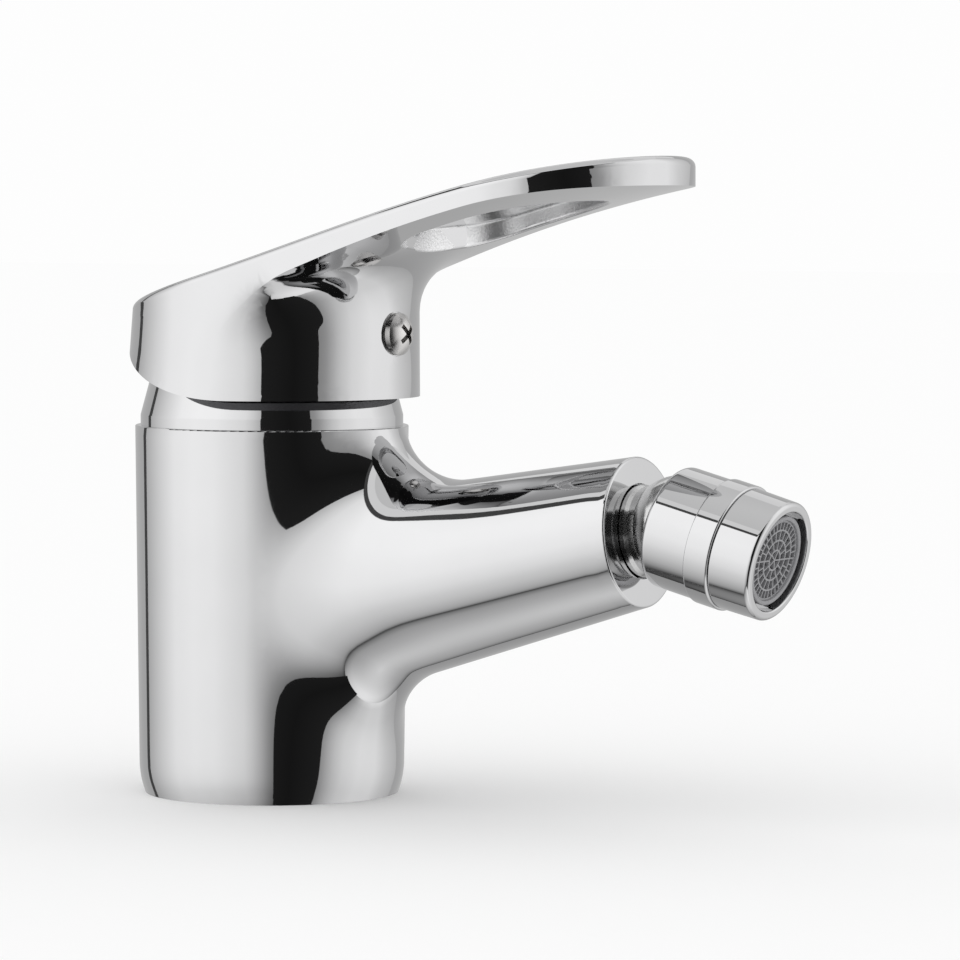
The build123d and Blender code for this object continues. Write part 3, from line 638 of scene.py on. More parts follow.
def turned(
    name: str, profile: Iterable[tuple[float, float]], place: Matrix, segments: int, crease: float
) -> bpy.types.Object:
    """Turns a closed profile about an axis.

    Args:
        name: The object's name.
        profile: Points along and out from the axis, in order round the section.
        place: Where the axis goes: its X axis is the turning axis.
        segments: How many parts a full turn has.
        crease: Angle over which an edge stays sharp.

    Returns:
        The new object.
    """
    shape = bmesh.new()
    points = [shape.verts.new((along, 0.0, out)) for along, out in supported(list(profile))]
    edges = [shape.edges.new((a, b)) for a, b in zip(points, points[1:] + points[:1])]
    bmesh.ops.spin(
        shape, geom=points + edges, cent=(0, 0, 0), axis=(1, 0, 0), angle=2 * pi,
        steps=segments, use_merge=True,
    )
    bmesh.ops.remove_doubles(shape, verts=shape.verts, dist=FINE_MERGE)
    bmesh.ops.dissolve_degenerate(shape, dist=FINE_MERGE / 10, edges=shape.edges)
    bmesh.ops.transform(shape, matrix=place, verts=shape.verts)
    bmesh.ops.recalc_face_normals(shape, faces=shape.faces)
    mark_creases(shape, crease)
    return link_mesh(name, shape)


def upright(x: float, z: float) -> Matrix:
    """Place of a turning axis that rises from (x, 0, z)."""
    return Matrix.Translation((x, 0, z)) @ Matrix.Rotation(-pi / 2, 4, "Y")


def leaning(x: float, z: float, rise: float) -> Matrix:
    """Place of a turning axis through (x, 0, z) that rises by an angle from +X."""
    return Matrix.Translation((x, 0, z)) @ Matrix.Rotation(-rise, 4, "Y")


@dataclass(frozen=True)
class DrawnWall:
    """A wall whose normals are taken from the CAD model instead."""

    wall: Wall

    def measure(self, points: np.ndarray) -> tuple[np.ndarray, np.ndarray]:
        """Signed distances and normals of the wall that stands for it."""
        return self.wall.measure(points)


@dataclass(frozen=True)
class Layer:
    """Walls whose normals are evened out among themselves, as hand polishing evens out a casting."""

    walls: tuple[Wall, ...]
    reach: float = 0.0
    widest_turn: float = 0.5
    second_reach: float = 0.0


@dataclass
class Corners:
    """Every corner of a mesh's faces, in the order of the faces.

    places holds the mesh's points, rows the point of each corner, starts each face's first corner,
    marks the wall that each corner lies on and normals its unit normal.
    """

    places: np.ndarray
    rows: np.ndarray
    starts: np.ndarray
    marks: np.ndarray
    normals: np.ndarray

    def blended(self, points: np.ndarray, faces: np.ndarray, gap: float) -> np.ndarray:
        """Normals at points on faces, blended from those at the faces' corners.

        Args:
            points: Rows of x, y and z.
            faces: The face of each point.
            gap: Distance under which a corner's pull grows no more.

        Returns:
            The blended unit normals.
        """
        total = np.zeros_like(points)
        starts, ends = self.starts[faces], self.starts[faces + 1]
        for step in range(int(np.max(ends - starts))):
            corner = np.minimum(starts + step, ends - 1)
            away = points - self.places[self.rows[corner]]
            weight = (starts + step < ends) / (dot(away, away) + gap**2)
            total += self.normals[corner] * weight[:, None]
        return unit(total)


def closest(tree: BVHTree, points: np.ndarray) -> tuple[np.ndarray, np.ndarray]:
    """Finds the nearest points of a mesh.

    Args:
        tree: The mesh.
        points: Rows of x, y and z.

    Returns:
        The nearest points, and the faces that they lie on.
    """
    found = [tree.find_nearest(place) for place in points]
    return np.array([row[0] for row in found], float), np.array([row[2] for row in found])


@dataclass
class Skin:
    """A merged and refined copy of a CAD node whose outer faces lie on exact walls.

    near is how far a CAD face may lie from its wall and farthest_move how far a point may be moved
    onto it. agree is how well the face's normals have to match the wall's. Each ring of a disc has
    its share of the reach and its weight.
    """

    name: str
    node: bpy.types.Object
    layers: list[Layer]
    pitch: float
    crease: float = radians(24)
    near: float = 0.00006
    farthest_move: float = 0.00006
    blend_gap: float = 0.0002
    agree: float = 0.7
    place_steps: float = 1e7
    normal_steps: float = 1e3
    steep: float = 0.7
    rings: tuple[tuple[float, float], ...] = ((0.35, 0.8), (0.7, 1.0), (1.0, 0.4))
    spokes: int = 6
    twist: float = 1.5

    def build(self) -> bpy.types.Object:
        """Copies, refines and settles the mesh.

        Returns:
            The new object with exact normals on its outer faces.
        """
        walls = [wall for each in self.layers for wall in each.walls]
        shape = bmesh.new()
        shape.from_mesh(self.node.data)
        layer = shape.faces.layers.int.new("wall")
        drawn = shape.loops.layers.float_vector.new("drawn_normal")
        given = self.node.data.corner_normals
        for face, polygon in zip(shape.faces, self.node.data.polygons):
            for loop, index in zip(face.loops, polygon.loop_indices):
                loop[drawn] = given[index].vector
        for island in self.islands(shape):
            mark = self.match(island, walls)
            for face in island:
                face[layer] = mark
        bmesh.ops.remove_doubles(shape, verts=shape.verts, dist=MERGE)
        bmesh.ops.dissolve_degenerate(shape, dist=FINE_MERGE, edges=shape.edges)
        self.refine(shape, layer)
        bmesh.ops.recalc_face_normals(shape, faces=shape.faces)
        mark_creases(shape, self.crease)
        shape.verts.index_update()
        corners = Corners(
            places=np.array([v.co for v in shape.verts], float),
            rows=np.array([v.index for face in shape.faces for v in face.verts]),
            starts=np.cumsum([0] + [len(face.verts) for face in shape.faces]),
            marks=np.array([face[layer] for face in shape.faces for _ in face.verts]),
            normals=unit(np.array([loop[drawn] for face in shape.faces for loop in face.loops], float)),
        )
        self.settle(corners, walls)
        for vert, place in zip(shape.verts, corners.places):
            vert.co = place
        self.even_out(BVHTree.FromBMesh(shape), corners, walls)
        for old in (shape.faces.layers.int, shape.loops.layers.float_vector):
            old.remove(old[0])
        piece = link_mesh(self.name, shape)
        piece.data.normals_split_custom_set([tuple(row) for row in corners.normals])
        faces, share = len(piece.data.polygons), 100 * float(np.mean(corners.marks > 0))
        log.info("%s: %d faces, %.0f%% of the corners on exact walls", self.name, faces, share)
        return piece

    def settle(self, corners: Corners, walls: list[Wall]) -> None:
        """Moves the points onto their walls, within the node's own box, and gives the corners their normals.

        Args:
            corners: The refined mesh's corners, which are changed.
            walls: Every wall of the skin.
        """
        exact = [(mark, wall) for mark, wall in enumerate(walls, 1) if not isinstance(wall, DrawnWall)]
        exact = [(mark, wall) for mark, wall in exact if (corners.marks == mark).any()]
        low, high = corners.places.min(0), corners.places.max(0)
        for mark, wall in exact:
            mine = np.unique(corners.rows[corners.marks == mark])
            distance, normal = wall.measure(corners.places[mine])
            move = np.clip(distance, -self.farthest_move, self.farthest_move)
            corners.places[mine] -= normal * move[:, None]
        corners.places = np.clip(corners.places, low, high)
        for mark, wall in exact:
            mine = corners.marks == mark
            corners.normals[mine] = wall.measure(corners.places[corners.rows[mine]])[1]

    def even_out(self, tree: BVHTree, corners: Corners, walls: list[Wall]) -> None:
        """Evens the normals of each layer out over a small disc of its own walls.

        Args:
            tree: The refined mesh.
            corners: Its corners, whose normals are changed.
            walls: Every wall of the skin.
        """
        for layer in self.layers:
            group = [mark for mark, wall in enumerate(walls, 1) if wall in layer.walls]
            taken = np.isin(corners.marks, group)
            if layer.reach <= 0 or not taken.any():
                continue
            points, own = corners.places[corners.rows[taken]], corners.normals[taken]
            keys = np.round(np.hstack([points * self.place_steps, own * self.normal_steps]))
            _, firsts, back = np.unique(keys, axis=0, return_index=True, return_inverse=True)
            points, own, back = points[firsts], own[firsts], np.ravel(back)
            helper = np.where(np.abs(own[:, 2:]) < self.steep, [[0.0, 0.0, 1.0]], [[1.0, 0.0, 0.0]])
            first = unit(np.cross(own, helper))
            second = np.cross(own, first)
            total = own.copy()
            for moved, weight in self.disc(points, first, second, layer.reach):
                near, faces = closest(tree, moved)
                kind = corners.marks[corners.starts[faces]]
                for other in group:
                    mine = np.flatnonzero(kind == other)
                    if len(mine):
                        normal = walls[other - 1].measure(near[mine])[1]
                        alike = dot(normal, own[mine]) > layer.widest_turn
                        total[mine] += normal * (weight * alike)[:, None]
            corners.normals[taken] = unit(total)[back]
            if layer.second_reach <= 0:
                continue
            own = unit(total)
            total = own.copy()
            for moved, weight in self.disc(points, first, second, layer.second_reach):
                near, faces = closest(tree, moved)
                normal = corners.blended(near, faces, self.blend_gap)
                inside = np.isin(corners.marks[corners.starts[faces]], group)
                alike = (dot(normal, own) > layer.widest_turn) & inside
                total += normal * (weight * alike)[:, None]
            corners.normals[taken] = unit(total)[back]

    def disc(
        self, points: np.ndarray, first: np.ndarray, second: np.ndarray, reach: float
    ) -> Iterator[tuple[np.ndarray, float]]:
        """Places spread over a small disc at each point, with their weights.

        Args:
            points: The discs' middles.
            first: Unit vectors along the surface.
            second: Unit vectors along the surface, square to the first.
            reach: The disc's radius.

        Yields:
            One moved place for each point, and the weight of these places.
        """
        for share, weight in self.rings:
            for step in range(self.spokes):
                turn = 2 * pi * (step + self.twist * share) / self.spokes
                yield points + (first * cos(turn) + second * sin(turn)) * (share * reach), weight

    def islands(self, shape: bmesh.types.BMesh) -> list[list[bmesh.types.BMFace]]:
        """Groups of faces that hang together: the faces of the CAD model.

        Args:
            shape: The mesh, before its doubles are merged.

        Returns:
            The groups.
        """
        left, groups = set(shape.faces), []
        while left:
            start = left.pop()
            group, ahead = [start], [start]
            while ahead:
                for edge in ahead.pop().edges:
                    for face in edge.link_faces:
                        if face in left:
                            left.discard(face)
                            group.append(face)
                            ahead.append(face)
            groups.append(group)
        return groups

    def match(self, island: list[bmesh.types.BMFace], walls: list[Wall]) -> int:
        """Finds the wall that a CAD face lies on.

        Args:
            island: The faces of its mesh.
            walls: The walls to choose from.

        Returns:
            The wall's place in the list, from 1, or 0 when it lies on none.
        """
        points = np.array([v.co for face in island for v in face.verts], float)
        middles = np.array([face.calc_center_median() for face in island], float)
        flats = np.array([face.normal for face in island], float)
        areas = np.array([face.calc_area() for face in island], float)
        best, chosen = self.near, 0
        for mark, wall in enumerate(walls, 1):
            worst = float(np.max(np.abs(wall.measure(points)[0])))
            lean = float(np.sum(dot(wall.measure(middles)[1], flats) * areas) / np.sum(areas))
            if worst < best and lean > self.agree:
                best, chosen = worst, mark
        log.debug("%s: %d faces on wall %d, off by %.4f mm", self.name, len(island), chosen, best * 1000)
        return chosen

    def refine(self, shape: bmesh.types.BMesh, layer: bmesh.types.BMLayerItem) -> None:
        """Cuts the outer faces along evenly spaced planes, so that none is long on a curved wall.

        Args:
            shape: The mesh, which is changed.
            layer: The wall's place in the list for each face, from 1, or 0 for none.
        """
        points = np.array([v.co for v in shape.verts], float)
        low, high = points.min(0), points.max(0)
        for axis in range(3):
            direction = np.zeros(3)
            direction[axis] = 1.0
            for place in np.arange(low[axis] + self.pitch / 2, high[axis], self.pitch):
                faces = [f for f in shape.faces if f[layer]]
                edges = list({e for f in faces for e in f.edges})
                verts = list({v for e in edges for v in e.verts})
                bmesh.ops.bisect_plane(
                    shape, geom=verts + edges + faces, dist=MERGE,
                    plane_co=direction * place, plane_no=direction,
                )


# Sub-assemblies


@dataclass
class MixerBody:
    """Pedestal with the tapering spout and the blend between them."""

    height: float = BODY_HEIGHT
    top_radius: float = 0.0264
    low_radius: float = 0.02565
    low_height: float = 0.006
    root_x: float = 0.010
    root_share: float = 0.519
    root_radius_share: float = 0.2778
    blend_share: float = 0.225
    end_radius: float = 0.01387
    foot_radius: float = 0.0245
    flank_radius: float = 0.050
    flank_start: float = 0.004
    flank_fade: int = 3
    polish_reach: float = 0.0045
    blend_near: float = 0.00021
    pitch: float = 0.0022

    def build(self, node: bpy.types.Object, palette: Palette) -> None:
        """Makes the body's skin from its CAD node.

        Args:
            node: The CAD node.
            palette: The finishes.
        """
        root_z, root_radius = self.root_share * self.height, self.root_radius_share * self.height
        run = hypot(SPOUT_END_X - self.root_x, SPOUT_END_Z - root_z)
        rise = atan2(SPOUT_END_Z - root_z, SPOUT_END_X - self.root_x)
        slope = (self.top_radius - self.low_radius) / (self.height - self.low_height)
        pedestal = ConeWall((0, 0, self.low_height), (0, 0, 1), self.low_radius, slope)
        taper = (self.end_radius - root_radius) / run
        spout = ConeWall((self.root_x, 0, root_z), (cos(rise), 0, sin(rise)), root_radius, taper)
        blend = BallBlend(pedestal, spout, self.blend_share * self.height, outside=True)
        wide = BallBlend(pedestal, spout, self.flank_radius, outside=True)
        lean = sqrt(1 + slope**2)
        in_by, low = self.low_radius - self.foot_radius, self.low_height
        foot_arc = (in_by**2 + low**2) / (2 * (in_by - low * slope) / lean)
        foot = HoopWall(self.low_radius - foot_arc / lean, low + foot_arc * slope / lean, foot_arc)

        def flank(points: np.ndarray) -> np.ndarray:
            """How far each point lies towards the spout's flanks, where the polish runs wider.

            Args:
                points: Rows of x, y and z.

            Returns:
                Values from 0 to 1.
            """
            along = (points[:, 0] - self.root_x) * cos(rise) + (points[:, 2] - root_z) * sin(rise)
            over = (points[:, 2] - root_z) * cos(rise) - (points[:, 0] - self.root_x) * sin(rise)
            level = np.abs(points[:, 1]) / np.hypot(points[:, 1], over)
            ahead = (along > -self.flank_start) & (points[:, 0] > self.flank_start)
            return np.where(ahead, level**self.flank_fade, 0.0)

        polished = tuple(PolishedWall(wall, wide, flank) for wall in (pedestal, spout, blend))
        layers = [Layer((*polished, foot), self.polish_reach)]
        piece = Skin("body_skin", node, layers, self.pitch, near=self.blend_near).build()
        palette.dress(piece, Finish.CHROME)
        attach(piece, "mixer_body")
        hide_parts("body")


@dataclass
class Lever:
    """Loop lever: a hub under a sloping plate with a crowned underside and a cast pocket."""

    low_z: float = BODY_HEIGHT + 0.0056
    top_z: float = BODY_HEIGHT + 0.0529
    hub_low_radius: float = 0.0283
    hub_top_radius: float = 0.0264
    hub_front_x: float = 0.0286
    loop_radius: float = 0.0298
    loop_reach: float = 0.0894
    under_start: tuple[float, float] = (0.028, BODY_HEIGHT + 0.0308)
    under_middle: tuple[float, float] = (0.060, BODY_HEIGHT + 0.0405)
    under_end: tuple[float, float] = (0.090, BODY_HEIGHT + 0.0463)
    under_slope: float = 0.36
    crown_radius: float = 0.250
    blend_radius: float = 0.011
    edge_round: float = 0.0015
    crossing: float = 0.00005
    pocket_centre_x: float = 0.054
    pocket_radius: float = 0.018
    pocket_left_x: float = 0.0375
    steep_wall: float = 0.8
    rim_round: float = 0.0007
    cavity_radius: float = 0.0256
    cavity_top: float = BODY_HEIGHT + 0.0322
    heel_rise: float = 0.0121
    steepest_rim: float = 0.5
    pitch: float = 0.0024
    polish_reach: float = 0.0045
    widest_turn: float = 0.5
    curve_degree: int = 7
    level_face: float = 0.9
    least_rise: float = 0.3
    curve_slack: float = 1e-6
    cast_place: int = 1
    # Slot of the dark finish that paints the shade in the gap under the hub
    gap_shade_place: int = 2

    def top_curve(self, node: bpy.types.Object) -> np.poly1d:
        """Curve of the top sheet along X, from the points of the node's top face.

        Args:
            node: The lever's CAD node.

        Returns:
            Height over X as a polynomial.
        """
        points = np.array([v.co for v in node.data.vertices], float)
        normals = np.array([v.normal for v in node.data.vertices], float)
        lowest = self.low_z + self.least_rise * (self.top_z - self.low_z)
        top = (normals[:, 2] > self.level_face) & (points[:, 2] > lowest)
        inner = np.abs(points[:, 1]) < self.hub_top_radius
        rows = points[top & inner]
        highest: dict[float, float] = {}
        for x, _, z in rows:
            key = round(x, 5)
            highest[key] = max(highest.get(key, z), z)
        curve = np.poly1d(np.polyfit(list(highest), list(highest.values()), self.curve_degree))
        off = np.abs(curve(rows[:, 0]) - rows[:, 2])
        keep = off < 2 * np.median(off) + self.curve_slack
        return np.poly1d(np.polyfit(rows[keep, 0], rows[keep, 2], self.curve_degree))

    def build(self, node: bpy.types.Object, palette: Palette) -> None:
        """Makes the lever's skin from its CAD node.

        Args:
            node: The CAD node.
            palette: The finishes.
        """
        draft = (self.hub_low_radius - self.hub_top_radius) / (self.top_z - self.low_z)
        hub_x = self.hub_front_x - self.hub_low_radius
        loop_x = self.loop_reach - self.loop_radius
        side = DraftedWall(self.low_z, draft, hub_x, self.hub_low_radius, loop_x, self.loop_radius)
        hub_radius = self.hub_low_radius + self.crossing
        hub = DraftedWall(self.low_z, draft, hub_x, hub_radius, hub_x + self.crossing, hub_radius)
        under = CrownWall(
            self.under_start, self.under_middle, self.under_end, self.under_slope,
            self.under_middle[1] + self.crown_radius,
        )
        top = SheetWall(self.top_curve(node))
        edge = BallBlend(side, top, self.edge_round, outside=False)
        root = BallBlend(hub, under, self.blend_radius, outside=True)
        evened = (side, under, DrawnWall(root), hub)
        polished = Layer(evened, self.polish_reach, self.widest_turn, self.polish_reach)
        layers = [Layer((top,)), Layer((edge,)), polished]
        piece = Skin("lever_skin", node, layers, self.pitch).build()
        palette.dress(piece, Finish.CHROME)
        piece.data.materials.append(palette.cast_made)
        # Dark raw finish, partly painted shade for the gap under the hub
        piece.data.materials.append(palette.raw_and_gap_shade_made)
        self.roughen_pocket(piece)
        self.paint_gap_shade(piece)
        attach(piece, "handle")
        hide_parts("lever")

    def paint_gap_shade(self, piece: bpy.types.Object) -> None:
        """Gives the rim under the hub and the walls of its cavity the dark finish of an unpolished casting,
        whose darkness is also painted shade for the narrow gap under the hub.

        Args:
            piece: The lever's skin.
        """
        for face in piece.data.polygons:
            x, y, z = face.center
            rising = face.normal.z
            hollow = hypot(x, y) < self.cavity_radius and z < self.cavity_top and rising < self.steepest_rim
            # Painted shade: faces under the hub's rim, and the cavity walls, take the dark finish
            if hollow or (z < self.low_z + self.heel_rise and rising < -self.steepest_rim):
                face.material_index = self.gap_shade_place

    def roughen_pocket(self, piece: bpy.types.Object) -> None:
        """Gives the walls of the pocket the finish of plated raw casting.

        Args:
            piece: The lever's skin.
        """
        for face in piece.data.polygons:
            x, y, z = face.center
            within = hypot(x - self.pocket_centre_x, y) < self.pocket_radius + self.rim_round / 2
            block = self.pocket_left_x < x < self.pocket_centre_x and abs(y) < self.pocket_radius
            steep = abs(face.normal.z) < self.steep_wall
            over = z > self.under_start[1] and abs(y) < self.pocket_radius + self.rim_round
            if (within or block) and steep and over:
                face.material_index = self.cast_place


@dataclass
class DomeRing:
    """Turned ring that covers the cartridge between the body and the lever."""

    radius: float = 0.02535
    band_height: float = 0.002
    band_round: float = 0.0012
    top_radius: float = 0.02345
    height: float = 0.0091
    shoulder_round: float = 0.001
    opening_radius: float = 0.0176
    roof: float = 0.0018
    thread_radius: float = 0.02285

    def build(self, palette: Palette) -> None:
        """Turns the ring's profile about Z.

        Args:
            palette: The finishes.
        """
        low, high = 0.0, self.height
        band = (self.band_height, self.radius)
        shoulder = (high, self.top_radius)
        profile = [
            (low, self.thread_radius),
            (low, self.radius),
            *round_corner((low, self.radius), band, shoulder, self.band_round),
            *round_corner(band, shoulder, (high, self.opening_radius), self.shoulder_round),
            (high, self.opening_radius),
            (high - self.roof, self.opening_radius),
            (high - self.roof, self.thread_radius),
        ]
        piece = turned("dome_ring_turned", profile, upright(0, BODY_HEIGHT), SEGMENTS, TURNED_CREASE)
        palette.dress(piece, Finish.CHROME)
        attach(piece, "mixer_body")
        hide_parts("dome_ring")
        log.info("dome ring: %d faces", len(piece.data.polygons))


@dataclass
class SprayEnd:
    """Swivel housing with its raised ring, and the front barrel that screws into it."""

    lip: float = 0.0022
    rear_radius: float = 0.0115
    rear_round: float = 0.0013
    ring_start: float = 0.0076
    ring_radius: float = 0.0119
    ring_round: float = 0.00036
    heel_round: float = 0.00025
    lip_steps: int = 8
    seam: float = 0.00003
    front_radius: float = 0.01145
    rim_radius: float = 0.01125
    reach: float = 0.0213
    rim_round: float = 0.0008
    mouth_radius: float = 0.00945
    mouth_round: float = 0.0003
    spigot_start: float = 0.0107
    spigot_radius: float = 0.0099
    spigot_bore: float = 0.009
    shoulder_start: float = 0.017
    shoulder_end: float = 0.0186
    shoulder_radius: float = 0.00865

    def build(self, palette: Palette) -> None:
        """Turns both barrels about the spray end's axis.

        Args:
            palette: The finishes.
        """
        x = SPOUT_END_X + BALL_OFFSET * cos(SPOUT_FACE_TILT)
        z = SPOUT_END_Z + BALL_OFFSET * sin(SPOUT_FACE_TILT)
        place = leaning(x, z, -SPRAY_DROP)
        for name, node, profile in (
            ("swivel_housing_turned", "swivel_housing", self.housing()),
            ("aerator_housing_turned", "aerator_housing", self.barrel()),
        ):
            piece = turned(name, profile, place, FINE_SEGMENTS, TURNED_CREASE)
            palette.dress(piece, Finish.CHROME)
            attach(piece, "spray_end")
            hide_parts(node)
            log.info("%s: %d faces", name, len(piece.data.polygons))

    def housing(self) -> list[tuple[float, float]]:
        """Profile of the swivel housing.

        Returns:
            Points along and out from its axis.
        """
        lip_turn = acos(-self.lip / HOUSING_BORE)
        rear = (-self.lip, self.rear_radius)
        foot, step = (self.ring_start, self.rear_radius), (self.ring_start, self.ring_radius)
        crest, front = (RING_END, self.ring_radius), (RING_END, HOUSING_BORE)
        return [
            *arc_points((0.0, 0.0), HOUSING_BORE, lip_turn, pi / 2, self.lip_steps),
            front,
            *round_corner(front, crest, step, self.ring_round),
            *round_corner(crest, step, foot, self.ring_round),
            foot,
            *round_corner(foot, rear, (-self.lip, HOUSING_BORE), self.rear_round),
        ]

    def barrel(self) -> list[tuple[float, float]]:
        """Profile of the front barrel.

        Returns:
            Points along and out from its axis.
        """
        back = RING_END + self.seam
        heel, neck = (back, self.front_radius), (back, self.spigot_radius)
        rim, mouth = (self.reach, self.rim_radius), (self.reach, self.mouth_radius)
        return [
            (self.spigot_start, self.spigot_bore),
            (self.spigot_start, self.spigot_radius),
            neck,
            *round_corner(neck, heel, rim, self.heel_round),
            *round_corner(heel, rim, mouth, self.rim_round),
            *round_corner(rim, mouth, (self.shoulder_end, self.mouth_radius), self.mouth_round),
            (self.shoulder_end, self.mouth_radius),
            (self.shoulder_end, self.shoulder_radius),
            (self.shoulder_start, self.shoulder_radius),
            (self.shoulder_start, self.spigot_bore),
        ]


@dataclass
class BallStem:
    """Ball stem: flange, neck and ball, with the groove of its seal."""

    flange_radius: float = 0.0086
    neck_radius: float = 0.0082
    pitch: float = 0.0012

    def build(self, node: bpy.types.Object, palette: Palette) -> None:
        """Makes the stem's skin from its CAD node.

        Args:
            node: The CAD node.
            palette: The finishes.
        """
        axis = (cos(SPOUT_FACE_TILT), 0.0, sin(SPOUT_FACE_TILT))
        face = (SPOUT_END_X, 0.0, SPOUT_END_Z)
        ball = tuple(place + BALL_OFFSET * way for place, way in zip(face, axis))
        walls = (
            ConeWall(face, axis, self.flange_radius, 0.0),
            ConeWall(face, axis, self.neck_radius, 0.0),
            BallWall(ball, BALL_RADIUS),
        )
        piece = Skin("ball_stem_skin", node, [Layer(walls)], self.pitch).build()
        palette.dress(piece, Finish.CHROME)
        piece.data.materials[0] = palette.worn_made
        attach(piece, "mixer_body")
        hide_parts("ball_stem")


@dataclass
class Internals:
    """CAD nodes that keep their own mesh and only get a finish."""

    slots: dict[str, str] = field(default_factory=dict)

    def build(self, nodes: dict[str, bpy.types.Object], palette: Palette) -> None:
        """Dresses every node that is still shown.

        Args:
            nodes: The CAD nodes by name.
            palette: The finishes.
        """
        shown = [n for n, o in nodes.items() if not o.hide_render]
        for name in shown:
            palette.dress(nodes[name], Finish(self.slots[name]))
        log.info("kept CAD nodes: %d", len(shown))


# Studio


@dataclass(frozen=True)
class Card:
    """A panel that stands round the mixer, seen only in its reflections.

    Angles are in degrees to the right of the camera's side. edges gives the panel's two sides at
    rising heights, across its level over the angle and upright its share of that over the height.
    """

    name: str
    distance: float
    edges: tuple[tuple[float, float, float], ...]
    across: tuple[tuple[float, float], ...]
    upright: tuple[tuple[float, float], ...]
    columns: int = 60
    rows: int = 60

    def build(self, facing: float) -> bpy.types.Object:
        """Bends a grid round the mixer and gives each point its level.

        Args:
            facing: Plan angle of the camera's side.

        Returns:
            The panel.
        """
        shape = bmesh.new()
        bmesh.ops.create_grid(shape, x_segments=self.columns, y_segments=self.rows, size=1.0)
        level = shape.verts.layers.float.new("level")
        heights, starts, ends = zip(*self.edges)
        for vert in shape.verts:
            share, height = (vert.co.x + 1) / 2, heights[0] + (vert.co.y + 1) / 2 * (heights[-1] - heights[0])
            start, end = np.interp(height, heights, starts), np.interp(height, heights, ends)
            angle = start + share * (end - start)
            vert[level] = np.interp(angle, *zip(*self.across)) * np.interp(height, *zip(*self.upright))
            turn = facing + radians(angle)
            vert.co = (self.distance * cos(turn), self.distance * sin(turn), height)
        return link_mesh(self.name, shape)


